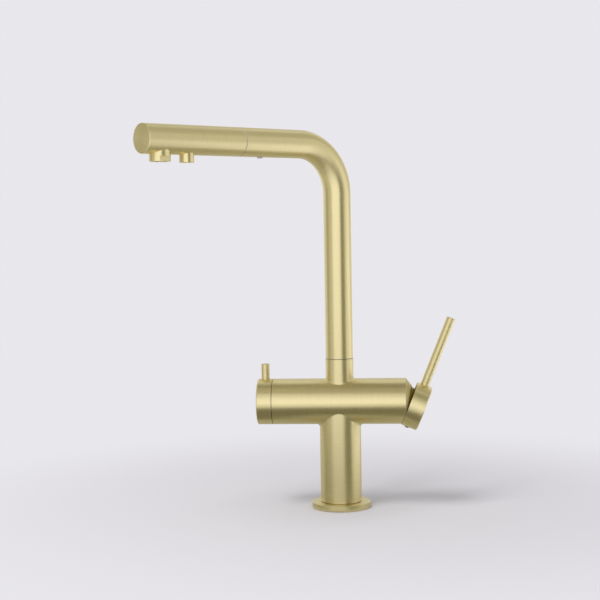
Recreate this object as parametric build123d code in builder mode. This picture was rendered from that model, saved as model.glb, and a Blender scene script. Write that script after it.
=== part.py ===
"""Three way filtered water tap.

A deck-standing kitchen mixer: a round column carries a level barrel. The barrel's right end holds
the hot and cold mixing cartridge with its tilting, turning lever, and its left end holds the
quarter-turn valve for filtered water. A swivelling spout rises from the neck and ends in a
pull-out head with two outlets, a wide aerator for mixed water and a narrow filtered-water nozzle.

Millimetres and degrees. The origin is the centre of the deck hole, at the deck's surface. +X runs
along the barrel to the lever, -Y is the user's side and +Z is up.
"""
import os
from math import cos, radians, sin, tan

from build123d import *

# ---------------------------------------------------------------- stance shown at rest
swing = 45.0                # spout swung forwards from above the filter knob
lever_tilt = 22.0           # lever tipped away from its closed place, square to the barrel
lever_tilt_most = 23.5      # furthest that the lever tips
swing_left = 45.0           # spout's travel from rest towards the knob
swing_right = 135.0         # spout's travel from rest towards the lever

# ---------------------------------------------------------------- clearances
running = 0.06              # radial, a turning fit
threaded = 0.05             # radial, a screwed or pushed-in seat
free = 0.35                 # radial, parts that pass without touching
seam = 0.6                  # the fine dark line between outer parts
overshoot = 1.0             # how far a cutter runs past the face that it opens

# ---------------------------------------------------------------- deck fixing
flange_radius = 29.8
flange_thickness = 6.0
foot_reveal = 0.8           # shadow gap between flange and column foot
foot_ring_width = 3.0
flange_bevel = 0.4
deck_seal_radius = 24.2
deck_seal_width = 4.4
deck_seal_thickness = 1.6
shank_radius = 16.0         # M32x1.5
shank_wall = 1.4
shank_collar_radius = 17.2  # centres the tap in a 35 mm deck hole
shank_collar_height = 5.0
shank_reach = 55.0          # below the deck's surface
shank_engagement = 11.0     # screwed up into the column
deck_thickness = 25.0       # worktop that the clamp is drawn for
washer_radius = 27.0
rubber_washer_thickness = 3.0
steel_washer_thickness = 2.0
nut_radius = 26.0
nut_thickness = 9.0
nut_drop = 4.0              # between steel washer and nut
nut_slot_width = 5.0
nut_slot_depth = 2.5
nut_slots = 6
jack_count = 3
jack_radius = 2.9
jack_circle = 21.4
jack_tail = 3.0             # screw below the nut, above its head
jack_head_flats = 8.0
jack_head_height = 4.0

# ---------------------------------------------------------------- body
column_radius = 21.0
column_bore = 18.0
barrel_radius = 23.35
barrel_height = 108.9       # barrel's axis above the deck
barrel_left = 68.3          # body's left face from the column's axis
barrel_right = 67.6         # body's right face
neck_radius = 14.3
neck_top = 152.8
neck_bore = 11.2
neck_bore_depth = 23.0
column_fillet = 3.0
neck_fillet = 2.0
roof_drop = 1.4             # solid left under the barrel inside the column
hose_way = 6.4              # radius of the passage for the pull-out hose
port_radius = 3.55          # M8x1 hose tails
port_depth = 10.0
port_circle = 10.8
port_step = 72.0            # five ports evenly round the hose
channel_radius = 2.8
riser_radius = 3.1          # drilled up from each port

# ---------------------------------------------------------------- mixing cartridge
mixer_floor = 34.0          # chamber floor from the column's axis
mixer_radius = 17.5
mixer_wall = 2.2
mixer_base_thickness = 5.0
mixer_length = 26.0         # from the floor to the cartridge's shoulder
mixer_shoulder = 2.0
mixer_nut_radius = 19.15
mixer_neck_radius = 13.0
mixer_neck_length = 7.5
hot_cold_drop = 6.0         # hot and cold ports below the barrel's axis
mixed_rise = 8.0            # mixed water port above it
mixer_seal_height = 1.2
mixer_seal_section = 0.7
locating_pin_radius = 1.5
locating_pin_length = 3.0
locating_pin_across = 11.0
locating_pin_rise = 6.0
fixed_disc_thickness = 3.5
moving_disc_radius = 10.8
moving_disc_thickness = 3.5
moving_disc_bias = 3.0      # disc's centre from the barrel's axis with the lever closed
mixing_pocket_depth = 1.6
carrier_thickness = 5.0
pivot_reach = 65.0          # lever's pivot from the column's axis
pivot_pin_radius = 1.5
pivot_pin_length = 19.0
rotor_radius = 15.3
rotor_disc_thickness = 6.3
rotor_neck_radius = 10.5
rotor_neck_past_pivot = 3.0
stem_side = 8.0
stem_arm = 15.5             # pivot to the ball that drives the moving disc
stem_ball = 2.6
stem_waist = 1.9
stem_waist_length = 4.5
mixer_nut_thickness = 3.6
shroud_length = 6.4         # coned ring at the barrel's right end, at its top
shroud_tip_radius = 15.1
shroud_slant = 8.9          # its end leans back, as the lever does
shroud_spigot = 3.4
dome_radius = 16.8          # ball under the hub that fills the ring, round the pivot
dome_wall = 1.0
dome_gap = 0.3
dome_rim_above = 84.5       # from the hub's axis
dome_rim_below = 70.0

# ---------------------------------------------------------------- lever
hub_radius = 23.25
hub_near = 6.6              # hub's inner face from the pivot
hub_thickness = 16.0
hub_lip = 0.4
hub_recess_depth = 5.6
hub_recess_radius = 20.6
hub_floor_depth = 7.8
hub_boss_radius = 9.0
hub_boss_near = 9.5         # boss's inner end from the pivot
hub_bevel = 0.8
socket_depth = 10.3
hub_screw_along = 12.7      # set screw from the pivot
hub_screw_radius = 2.0
hub_plug_length = 2.8       # plug in the screw's access hole
hub_plug_proud = 1.0
rod_radius = 4.4
rod_along = 14.1            # rod's axis from the pivot
rod_tip = 96.65             # rod's end from the hub's axis
rod_seat = 1.7
rod_root_radius = 2.5
rod_root_length = 8.5
rod_bevel = 0.3

# ---------------------------------------------------------------- filtered water valve
valve_floor = 30.0          # chamber floor from the column's axis
valve_body_radius = 9.55
valve_body_length = 16.0
valve_thread_radius = 10.4
valve_thread_length = 10.0
valve_hex_flats = 24.0
valve_hex_thickness = 5.0
valve_neck_radius = 6.5
valve_neck_length = 5.0
valve_disc_radius = 7.5
valve_seal_thickness = 1.4
valve_disc_thickness = 3.0
valve_port_radius = 2.2
valve_port_across = 4.6     # each port from the valve's axis
valve_slot_depth = 1.6
valve_room_radius = 16.0    # socket room round the valve's hexagon
spindle_radius = 4.0
spindle_plate_thickness = 2.0
spindle_groove_depth = 1.1
spindle_rings_at = (7.5, 11.5)   # from the spindle's plate
knob_length = 15.3
knob_recess_depth = 4.1
knob_round = 1.2
knob_socket_depth = 7.0
guide_radius = 20.0
guide_wall = 3.0
guide_in_body = 5.0
knob_pin_radius = 4.2
knob_pin_height = 15.6      # above the knob's rim
knob_pin_along = 7.4        # pin's axis from the knob's inner face
knob_pin_seat = 2.2
knob_pin_root_radius = 2.5
knob_pin_bevel = 0.3

# ---------------------------------------------------------------- spout
tube_radius = 14.0
tube_wall = 1.2
arm_height = 369.65         # arm's axis above the deck
bend_radius = 49.0
arm_end = 123.6             # tube's mouth from the column's axis
slip_ring_inset = 0.65
bush_bore = 6.8
bush_up = 16.0              # bush's length inside the spout tube
bush_ring_section = 0.75
bush_ring_groove = 2.6
bush_rings_at = (5.8, 17.8) # ring grooves below the seam
swivel_groove_at = 11.9     # groove for the stop screw below the seam
swivel_groove_width = 4.2
swivel_groove_floor = 9.2
stop_screw_bearing = 90.0   # screw's direction round the neck, from +X: the back
stop_screw_radius = 1.7
stop_screw_sink = 0.4       # below the neck's surface
dock_sleeve_length = 39.6
dock_ring_width = 1.2       # pale ring seen between arm and head
dock_ring_inset = 0.2
dock_bore = 7.6
dock_socket_radius = 10.7
dock_socket_depth = 16.8
dock_screw_along = 98.6
dock_screw_radius = 2.6
dock_screw_proud = 1.0
dock_screw_tip = 8.5        # screw's inner end from the arm's axis
hose_radius = 6.0
hose_bore = 4.3
inner_tube_radius = 3.0
inner_tube_bore = 2.0
hose_split = 50.0           # rear and front stretches meet here along the arm
hose_split_gap = 1.0

# ---------------------------------------------------------------- pull-out head
head_length = 109.1         # from the docking ring to the end face
head_wall = 1.4
cap_rebate = 0.3
cap_thickness = 1.8
head_bevel = 0.35
core_start = 2.2            # core's body past the head's rear edge
core_end = 5.9              # core's end short of the head's end face
spigot_radius = 10.35
spigot_length = 11.6
connector_radius = 8.0
connector_length = 20.0
connector_inset = 5.5       # connector's thread starts this far inside the spigot
ferrule_radius = 7.2
ferrule_length = 12.0
mixing_chamber_length = 8.0
mixed_way_radius = 3.0
mixed_way_rise = 7.4
mixed_drop_radius = 3.6
filter_way_radius = 2.0
filter_drop_radius = 2.4
inner_tube_grip = 10.0
aerator_setback = 19.4      # aerator's axis from the end face
aerator_radius = 10.0
aerator_drop = 20.55        # housing's mouth below the arm's axis
aerator_collar_top = 8.6    # collar's top below the arm's axis
aerator_thread_radius = 9.0
aerator_thread_length = 5.0
aerator_bore = 7.7
aerator_bore_depth = 8.5
aerator_way = 5.0
aerator_flats = 16.8
aerator_flats_height = 4.9
aerator_insert_sink = 0.8
aerator_insert_thickness = 6.5
aerator_seal_thickness = 1.5
outlet_spacing = 29.7       # nozzle's axis behind the aerator's
nozzle_radius = 7.0
nozzle_drop = 20.85
nozzle_collar_top = 9.6
nozzle_thread_radius = 6.0
nozzle_thread_length = 5.0
nozzle_bore = 4.5
nozzle_bore_depth = 7.0
nozzle_way = 2.5
nozzle_insert_sink = 1.0
nozzle_insert_thickness = 4.0
nozzle_seal_thickness = 1.2
stream_hole_radius = 0.55
aerator_ring_count = 3
aerator_ring_step = 2.2     # each ring of holes lies this far outside the one before
first_ring_count = 6        # holes in the first ring; each ring adds as many
nozzle_ring_radius = 2.6

# ---------------------------------------------------------------- places that follow
foot = flange_thickness + foot_reveal
roof = barrel_height - barrel_radius - roof_drop
shank_bore = shank_radius - shank_wall
shank_top = foot + shank_engagement
spout_foot = neck_top + seam
arm = Vector(-cos(radians(swing)), -sin(radians(swing)), 0)
tilt_along = Vector(cos(radians(lever_tilt)), 0, -sin(radians(lever_tilt)))
tilt_up = Vector(sin(radians(lever_tilt)), 0, cos(radians(lever_tilt)))
tube_bore = tube_radius - tube_wall
head_start = arm_end + dock_ring_width
head_end = head_start + head_length
aerator_along = head_end - aerator_setback
nozzle_along = aerator_along - outlet_spacing
to_stop_screw = Vector(1, 0, 0).rotate(Axis.Z, stop_screw_bearing)
port_angles = {"mixed": 0.0, "hot": port_step, "filter_in": 2 * port_step,
               "filter_out": 3 * port_step, "cold": 4 * port_step}
ports = {name: Vector(port_circle, 0, 0).rotate(Axis.Z, angle) for name, angle in port_angles.items()}
cartridge_ports = {"mixed": (0.0, mixed_rise), "hot": (ports["hot"].Y, -hot_cold_drop),
                   "cold": (ports["cold"].Y, -hot_cold_drop)}

# Drawing planes: across is the radius, and the axis that each turned piece turns about.
column_plane = Plane.XZ
side_plane = Plane.YZ       # starts the casting's round faces clear of the barrel's own start line
barrel_plane = Plane(origin=(0, 0, barrel_height), x_dir=(1, 0, 0), z_dir=(0, -1, 0))
barrel_axis = Axis((0, 0, barrel_height), (1, 0, 0))
pivot = Vector(pivot_reach, 0, barrel_height)
lever_plane = Plane(origin=pivot, x_dir=tilt_along, z_dir=(0, -1, 0))
lever_axis = Axis(pivot, tilt_along)
arm_centre = Vector(0, 0, arm_height)
arm_plane = Plane(origin=arm_centre, x_dir=arm, z_dir=arm.cross(Vector(0, 0, 1)))
arm_axis = Axis(arm_centre, arm)
aerator_centre = arm_centre + arm * aerator_along
aerator_plane = Plane(origin=aerator_centre, x_dir=arm, z_dir=arm_plane.z_dir)
aerator_axis = Axis(aerator_centre, (0, 0, 1))
nozzle_centre = arm_centre + arm * nozzle_along
nozzle_plane = Plane(origin=nozzle_centre, x_dir=arm, z_dir=arm_plane.z_dir)
nozzle_axis = Axis(nozzle_centre, (0, 0, 1))


def across(origin, direction):
    """The plane through the point, square to the direction."""
    return Plane(origin=origin, z_dir=direction)


def outline(plane, *points):
    """A flat face bounded by straight lines through the points."""
    with BuildSketch(plane) as face:
        with BuildLine():
            Polyline(*points, close=True)
        make_face()
    return face.sketch


def band(plane, low, high, inner, outer):
    """The half section of a ring whose axis is the plane's own x: along low to high."""
    return outline(plane, (low, inner), (high, inner), (high, outer), (low, outer))


def hoop(plane, low, high, inner, outer):
    """The half section of a ring whose axis is the plane's own y: up from low to high."""
    return outline(plane, (inner, low), (outer, low), (outer, high), (inner, high))


def disc(plane, centre, radius):
    """A round face on the plane."""
    with BuildSketch(plane) as face:
        with Locations(centre):
            Circle(radius)
    return face.sketch


os.makedirs("parts", exist_ok=True)

# ================================================================ deck fixing
# Round brass plate that covers the hole in the worktop. A raised ring inside its rim carries the
# column and leaves a shadow gap under the column's edge.
with BuildPart() as base_flange:
    locating_radius = shank_radius + free
    ring_radius = shank_radius + foot_ring_width
    revolve(outline(column_plane, (locating_radius, 0), (flange_radius, 0),
                    (flange_radius, flange_thickness - flange_bevel),
                    (flange_radius - flange_bevel, flange_thickness),
                    (ring_radius, flange_thickness), (ring_radius, foot), (locating_radius, foot)),
            axis=Axis.Z)
    revolve(hoop(column_plane, 0, deck_seal_thickness, deck_seal_radius - deck_seal_width / 2,
                 deck_seal_radius + deck_seal_width / 2), axis=Axis.Z, mode=Mode.SUBTRACT)
base_flange.part.label = "base_flange"
export_step(base_flange.part, "parts/base_flange.step")

# Flat rubber ring in the groove under the plate.
with BuildPart() as deck_seal:
    revolve(hoop(column_plane, 0, deck_seal_thickness,
                 deck_seal_radius - deck_seal_width / 2 + threaded,
                 deck_seal_radius + deck_seal_width / 2 - threaded), axis=Axis.Z)
deck_seal.part.label = "deck_seal"
export_step(deck_seal.part, "parts/deck_seal.step")

# Hollow threaded shank, screwed up into the column. Its collar draws the flange up against the
# column and centres the tap in the deck hole.
with BuildPart() as threaded_shank:
    revolve(outline(column_plane, (shank_bore, -shank_reach), (shank_radius, -shank_reach),
                    (shank_radius, -shank_collar_height), (shank_collar_radius, -shank_collar_height),
                    (shank_collar_radius, 0), (shank_radius, 0), (shank_radius, shank_top),
                    (shank_bore, shank_top)), axis=Axis.Z)
threaded_shank.part.label = "threaded_shank"
export_step(threaded_shank.part, "parts/threaded_shank.step")

# Clamp set under the worktop: rubber washer, steel washer, slotted nut and its jacking screws.
washer_bore = shank_radius + free
rubber_low = -deck_thickness - rubber_washer_thickness
steel_low = rubber_low - steel_washer_thickness
nut_high = steel_low - nut_drop
nut_low = nut_high - nut_thickness
with BuildPart() as clamp_rubber_washer:
    revolve(hoop(column_plane, rubber_low, -deck_thickness, washer_bore, washer_radius), axis=Axis.Z)
clamp_rubber_washer.part.label = "clamp_rubber_washer"
export_step(clamp_rubber_washer.part, "parts/clamp_rubber_washer.step")

with BuildPart() as clamp_steel_washer:
    revolve(hoop(column_plane, steel_low, rubber_low, washer_bore, washer_radius), axis=Axis.Z)
clamp_steel_washer.part.label = "clamp_steel_washer"
export_step(clamp_steel_washer.part, "parts/clamp_steel_washer.step")

with BuildPart() as clamp_nut:
    revolve(hoop(column_plane, nut_low, nut_high, shank_radius + threaded, nut_radius), axis=Axis.Z)
    with Locations(Plane.XY.offset(nut_low)):
        with PolarLocations(jack_circle, jack_count, start_angle=180 / jack_count):
            Cylinder(jack_radius + threaded, nut_thickness, align=(Align.CENTER, Align.CENTER, Align.MIN),
                     mode=Mode.SUBTRACT)
        with PolarLocations(nut_radius, nut_slots, start_angle=180 / nut_slots):
            Box(2 * nut_slot_depth, nut_slot_width, nut_thickness,
                align=(Align.CENTER, Align.CENTER, Align.MIN), mode=Mode.SUBTRACT)
clamp_nut.part.label = "clamp_nut"
export_step(clamp_nut.part, "parts/clamp_nut.step")

with BuildPart() as jack_screws:
    with BuildSketch(Plane.XY.offset(nut_low - jack_tail)):
        with PolarLocations(jack_circle, jack_count, start_angle=180 / jack_count):
            Circle(jack_radius)
    extrude(amount=steel_low - nut_low + jack_tail)
    with BuildSketch(Plane.XY.offset(nut_low - jack_tail)):
        with PolarLocations(jack_circle, jack_count, start_angle=180 / jack_count):
            RegularPolygon(jack_head_flats / 2, 6, major_radius=False)
    extrude(amount=-jack_head_height)
jack_screws.part.label = "jack_screws"
export_step(jack_screws.part, "parts/jack_screws.step")

# ================================================================ body
# One brass casting: hollow column, level barrel and neck, with its water ways drilled.
mixer_thread_start = mixer_floor + mixer_length
guide_floor = barrel_left - guide_in_body
valve_thread_start = valve_floor + valve_body_length
valve_hex_start = valve_thread_start + valve_thread_length
stop_screw_height = neck_top + seam - swivel_groove_at
with BuildPart() as tap_body:
    revolve(hoop(side_plane, foot, barrel_height, 0, column_radius), axis=Axis.Z)
    revolve(hoop(side_plane, barrel_height, neck_top, 0, neck_radius), axis=Axis.Z)
    revolve(band(barrel_plane, -barrel_left, barrel_right, 0, barrel_radius), axis=barrel_axis)
    saddles = tap_body.edges().filter_by(
        lambda edge: edge.geom_type not in (GeomType.LINE, GeomType.CIRCLE))
    fillet(saddles.filter_by(lambda edge: edge.center().Z > barrel_height), neck_fillet)
    fillet(saddles.filter_by(lambda edge: edge.center().Z < barrel_height), column_fillet)
    # column bore, shank thread, hose passage and bush seat
    revolve(hoop(column_plane, shank_top, roof, 0, column_bore), axis=Axis.Z, mode=Mode.SUBTRACT)
    revolve(hoop(column_plane, foot, shank_top, 0, shank_radius + threaded), axis=Axis.Z,
            mode=Mode.SUBTRACT)
    revolve(hoop(column_plane, roof, neck_top, 0, hose_way), axis=Axis.Z, mode=Mode.SUBTRACT)
    revolve(hoop(column_plane, neck_top - neck_bore_depth, neck_top, 0, neck_bore), axis=Axis.Z,
            mode=Mode.SUBTRACT)
    # mixing cartridge's chamber and nut thread
    revolve(band(barrel_plane, mixer_floor, mixer_thread_start, 0, mixer_radius + threaded),
            axis=barrel_axis, mode=Mode.SUBTRACT)
    revolve(band(barrel_plane, mixer_thread_start, barrel_right, 0, mixer_nut_radius + threaded),
            axis=barrel_axis, mode=Mode.SUBTRACT)
    # filter valve's chamber, thread, socket room and guide seat
    revolve(band(barrel_plane, -valve_thread_start, -valve_floor, 0, valve_body_radius + threaded),
            axis=barrel_axis, mode=Mode.SUBTRACT)
    revolve(band(barrel_plane, -valve_hex_start, -valve_thread_start, 0,
                 valve_thread_radius + threaded), axis=barrel_axis, mode=Mode.SUBTRACT)
    revolve(band(barrel_plane, -barrel_left, -valve_hex_start, 0, valve_room_radius),
            axis=barrel_axis, mode=Mode.SUBTRACT)
    revolve(band(barrel_plane, -barrel_left, -guide_floor, 0, guide_radius + threaded),
            axis=barrel_axis, mode=Mode.SUBTRACT)
    # five hose ports, and the drilled ways that rise from them
    for name, place in ports.items():
        rise = mixed_rise if name == "mixed" else -hot_cold_drop if name in ("hot", "cold") else 0
        with Locations(place + Vector(0, 0, roof)):
            Cylinder(port_radius, port_depth, align=(Align.CENTER, Align.CENTER, Align.MIN),
                     mode=Mode.SUBTRACT)
            Cylinder(riser_radius, barrel_height + rise - roof,
                     align=(Align.CENTER, Align.CENTER, Align.MIN), mode=Mode.SUBTRACT)
    for name, (side, rise) in cartridge_ports.items():
        start = Vector(ports[name].X, side, barrel_height + rise)
        extrude(disc(across(start, (1, 0, 0)), (0, 0), channel_radius),
                amount=mixer_floor - start.X, mode=Mode.SUBTRACT)
    for name in ("filter_in", "filter_out"):
        side = valve_port_across if ports[name].Y > 0 else -valve_port_across
        start = Vector(ports[name].X, side, barrel_height)
        extrude(disc(across(start, (-1, 0, 0)), (0, 0), valve_port_radius),
                amount=valve_floor + start.X, mode=Mode.SUBTRACT)
    # holes for the cartridge's locating pins, and for the swivel's stop screw at the back
    for side in (-locating_pin_across, locating_pin_across):
        start = Vector(mixer_floor, side, barrel_height + locating_pin_rise)
        extrude(disc(across(start, (-1, 0, 0)), (0, 0), locating_pin_radius + threaded),
                amount=locating_pin_length + threaded, mode=Mode.SUBTRACT)
    extrude(disc(across((0, 0, stop_screw_height), to_stop_screw), (0, 0),
                 stop_screw_radius + threaded), amount=neck_radius + overshoot, mode=Mode.SUBTRACT)
tap_body.part.label = "tap_body"
export_step(tap_body.part, "parts/tap_body.step")

# Grub screw in the back of the neck: its tip runs in the bush's groove and stops the swing.
with BuildPart() as swivel_stop_screw:
    tip = swivel_groove_floor + free
    head = neck_radius - stop_screw_sink
    extrude(disc(across(to_stop_screw * tip + Vector(0, 0, stop_screw_height), to_stop_screw), (0, 0),
                 stop_screw_radius), amount=head - tip)
    with BuildSketch(across(to_stop_screw * head + Vector(0, 0, stop_screw_height), to_stop_screw)):
        RegularPolygon(stop_screw_radius / 2, 6)
    extrude(amount=-stop_screw_radius, mode=Mode.SUBTRACT)
swivel_stop_screw.part.label = "swivel_stop_screw"
export_step(swivel_stop_screw.part, "parts/swivel_stop_screw.step")

# ================================================================ mixing cartridge
base_end = mixer_floor + mixer_base_thickness
fixed_disc_end = base_end + fixed_disc_thickness
moving_disc_end = fixed_disc_end + moving_disc_thickness
carrier_end = moving_disc_end + carrier_thickness
rotor_start = mixer_thread_start - mixer_shoulder - rotor_disc_thickness - running
rotor_disc_end = rotor_start + rotor_disc_thickness
mixer_room_radius = rotor_radius + running

# Plastic base with three ports and two pins that key it into the body.
with BuildPart() as mixer_base:
    revolve(band(barrel_plane, mixer_floor, base_end, 0, mixer_radius), axis=barrel_axis)
    for side, rise in cartridge_ports.values():
        mouth = Vector(mixer_floor, side, barrel_height + rise)
        extrude(disc(across(mouth, (1, 0, 0)), (0, 0), channel_radius),
                amount=mixer_base_thickness, mode=Mode.SUBTRACT)
        extrude(disc(across(mouth, (1, 0, 0)), (0, 0), channel_radius + 2 * mixer_seal_section),
                amount=mixer_seal_height, mode=Mode.SUBTRACT)
    for side in (-locating_pin_across, locating_pin_across):
        seat = Vector(mixer_floor, side, barrel_height + locating_pin_rise)
        extrude(disc(across(seat, (-1, 0, 0)), (0, 0), locating_pin_radius),
                amount=locating_pin_length)
mixer_base.part.label = "mixer_base"
export_step(mixer_base.part, "parts/mixer_base.step")

# Three rubber rings that seal the base's ports against the chamber floor.
with BuildPart() as mixer_base_seals:
    for side, rise in cartridge_ports.values():
        mouth = Vector(mixer_floor, side, barrel_height + rise)
        with BuildSketch(across(mouth, (1, 0, 0))):
            Circle(channel_radius + 2 * mixer_seal_section - threaded)
            Circle(channel_radius + threaded, mode=Mode.SUBTRACT)
        extrude(amount=mixer_seal_height)
mixer_base_seals.part.label = "mixer_base_seals"
export_step(mixer_base_seals.part, "parts/mixer_base_seals.step")

# Ceramic discs: the fixed one has a port for each water way, the moving one a mixing pocket.
with BuildPart() as mixer_fixed_disc:
    revolve(band(barrel_plane, base_end, fixed_disc_end, 0, mixer_radius - mixer_wall - threaded),
            axis=barrel_axis)
    for side, rise in cartridge_ports.values():
        extrude(disc(across((base_end, side, barrel_height + rise), (1, 0, 0)), (0, 0),
                     channel_radius), amount=fixed_disc_thickness, mode=Mode.SUBTRACT)
mixer_fixed_disc.part.label = "mixer_fixed_disc"
export_step(mixer_fixed_disc.part, "parts/mixer_fixed_disc.step")

ball_centre = pivot - tilt_along * stem_arm
disc_rise = ball_centre.Z - moving_disc_bias
with BuildPart() as mixer_moving_disc:
    extrude(disc(across((fixed_disc_end, 0, disc_rise), (1, 0, 0)), (0, 0), moving_disc_radius),
            amount=moving_disc_thickness)
    with BuildSketch(across((fixed_disc_end, 0, disc_rise), (1, 0, 0))):
        Circle(moving_disc_radius - mixer_wall)
    extrude(amount=mixing_pocket_depth, mode=Mode.SUBTRACT)
mixer_moving_disc.part.label = "mixer_moving_disc"
export_step(mixer_moving_disc.part, "parts/mixer_moving_disc.step")

with BuildPart() as mixer_disc_carrier:
    extrude(disc(across((moving_disc_end, 0, disc_rise), (1, 0, 0)), (0, 0), moving_disc_radius),
            amount=carrier_thickness)
    extrude(disc(across((moving_disc_end, 0, ball_centre.Z), (1, 0, 0)), (0, 0), stem_ball + free),
            amount=carrier_thickness, mode=Mode.SUBTRACT)
mixer_disc_carrier.part.label = "mixer_disc_carrier"
export_step(mixer_disc_carrier.part, "parts/mixer_disc_carrier.step")

# Plastic housing round the discs and the rotor, with the neck that the rotor turns in.
housing_neck_end = mixer_thread_start + mixer_neck_length
with BuildPart() as mixer_housing:
    revolve(outline(barrel_plane, (base_end, mixer_room_radius),
                    (rotor_disc_end + running, mixer_room_radius),
                    (rotor_disc_end + running, rotor_neck_radius + running),
                    (housing_neck_end, rotor_neck_radius + running),
                    (housing_neck_end, mixer_neck_radius), (mixer_thread_start, mixer_neck_radius),
                    (mixer_thread_start, mixer_radius), (base_end, mixer_radius)),
            axis=barrel_axis)
mixer_housing.part.label = "mixer_housing"
export_step(mixer_housing.part, "parts/mixer_housing.step")

# Rotor: turns with the lever for temperature and carries the pin that the stem tips on.
rotor_end = pivot_reach + rotor_neck_past_pivot
slot_half = stem_side / 2 + free
widest = radians(lever_tilt_most)
stem_edge = stem_side / 2 / cos(widest)
slot_low = rotor_neck_past_pivot * tan(widest) + stem_edge + free
neck_slot_high = (pivot_reach - rotor_disc_end) * tan(widest) + stem_edge + free
disc_slot_high = (pivot_reach - rotor_start) * tan(widest) + stem_edge + free
with BuildPart() as mixer_rotor:
    revolve(band(barrel_plane, rotor_start, rotor_disc_end, 0, rotor_radius), axis=barrel_axis)
    revolve(band(barrel_plane, rotor_disc_end, rotor_end, 0, rotor_neck_radius), axis=barrel_axis)
    extrude(outline(barrel_plane, (rotor_disc_end, -slot_low), (rotor_end, -slot_low),
                    (rotor_end, neck_slot_high), (rotor_disc_end, neck_slot_high)),
            amount=slot_half, both=True, mode=Mode.SUBTRACT)
    extrude(outline(barrel_plane, (rotor_start, -stem_side / 2 - free), (rotor_disc_end, -slot_low),
                    (rotor_disc_end, neck_slot_high), (rotor_start, disc_slot_high)),
            amount=slot_half, both=True, mode=Mode.SUBTRACT)
    extrude(disc(across(pivot, (0, 1, 0)), (0, 0), pivot_pin_radius + threaded),
            amount=rotor_radius, both=True, mode=Mode.SUBTRACT)
mixer_rotor.part.label = "mixer_rotor"
export_step(mixer_rotor.part, "parts/mixer_rotor.step")

with BuildPart() as mixer_pivot_pin:
    extrude(disc(across(pivot, (0, 1, 0)), (0, 0), pivot_pin_radius),
            amount=pivot_pin_length / 2, both=True)
mixer_pivot_pin.part.label = "mixer_pivot_pin"
export_step(mixer_pivot_pin.part, "parts/mixer_pivot_pin.step")

# Brass ring nut that holds the cartridge down, and the coned ring screwed in over it.
with BuildPart() as mixer_nut:
    revolve(band(barrel_plane, mixer_thread_start, mixer_thread_start + mixer_nut_thickness,
                 mixer_neck_radius + free, mixer_nut_radius), axis=barrel_axis)
mixer_nut.part.label = "mixer_nut"
export_step(mixer_nut.part, "parts/mixer_nut.step")

spigot_end = barrel_right - shroud_spigot
shroud_end = barrel_right + shroud_length
shroud_lean = tan(radians(shroud_slant))
shroud_crown = shroud_end + (barrel_radius - shroud_tip_radius) * shroud_lean
with BuildPart() as mixer_shroud:
    revolve(outline(barrel_plane, (spigot_end, 0), (shroud_end, 0), (shroud_end, shroud_tip_radius),
                    (barrel_right, barrel_radius), (barrel_right, mixer_nut_radius),
                    (spigot_end, mixer_nut_radius)), axis=barrel_axis)
    with Locations(pivot):
        Sphere(dome_radius + dome_gap, mode=Mode.SUBTRACT)
    extrude(outline(barrel_plane, (shroud_crown, barrel_radius),
                    (shroud_crown + shroud_length, barrel_radius),
                    (shroud_crown + shroud_length, -barrel_radius),
                    (shroud_crown - 2 * barrel_radius * shroud_lean, -barrel_radius)),
            amount=barrel_radius, both=True, mode=Mode.SUBTRACT)
mixer_shroud.part.label = "mixer_shroud"
export_step(mixer_shroud.part, "parts/mixer_shroud.step")

# ================================================================ lever
socket_end = hub_boss_near + socket_depth
stem_end = socket_end - free
hub_far = hub_near + hub_thickness
# Square steel stem: a ball at its inner end drives the moving disc.
with BuildPart() as mixer_stem:
    square_start = -stem_arm + stem_waist_length
    extrude(outline(lever_plane, (square_start, -stem_side / 2), (stem_end, -stem_side / 2),
                    (stem_end, stem_side / 2), (square_start, stem_side / 2)),
            amount=stem_side / 2, both=True)
    revolve(band(lever_plane, -stem_arm, square_start, 0, stem_waist), axis=lever_axis)
    with Locations(ball_centre):
        Sphere(stem_ball)
    extrude(disc(across(pivot, (0, 1, 0)), (0, 0), pivot_pin_radius + running),
            amount=stem_side, both=True, mode=Mode.SUBTRACT)
mixer_stem.part.label = "mixer_stem"
export_step(mixer_stem.part, "parts/mixer_stem.step")

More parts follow.
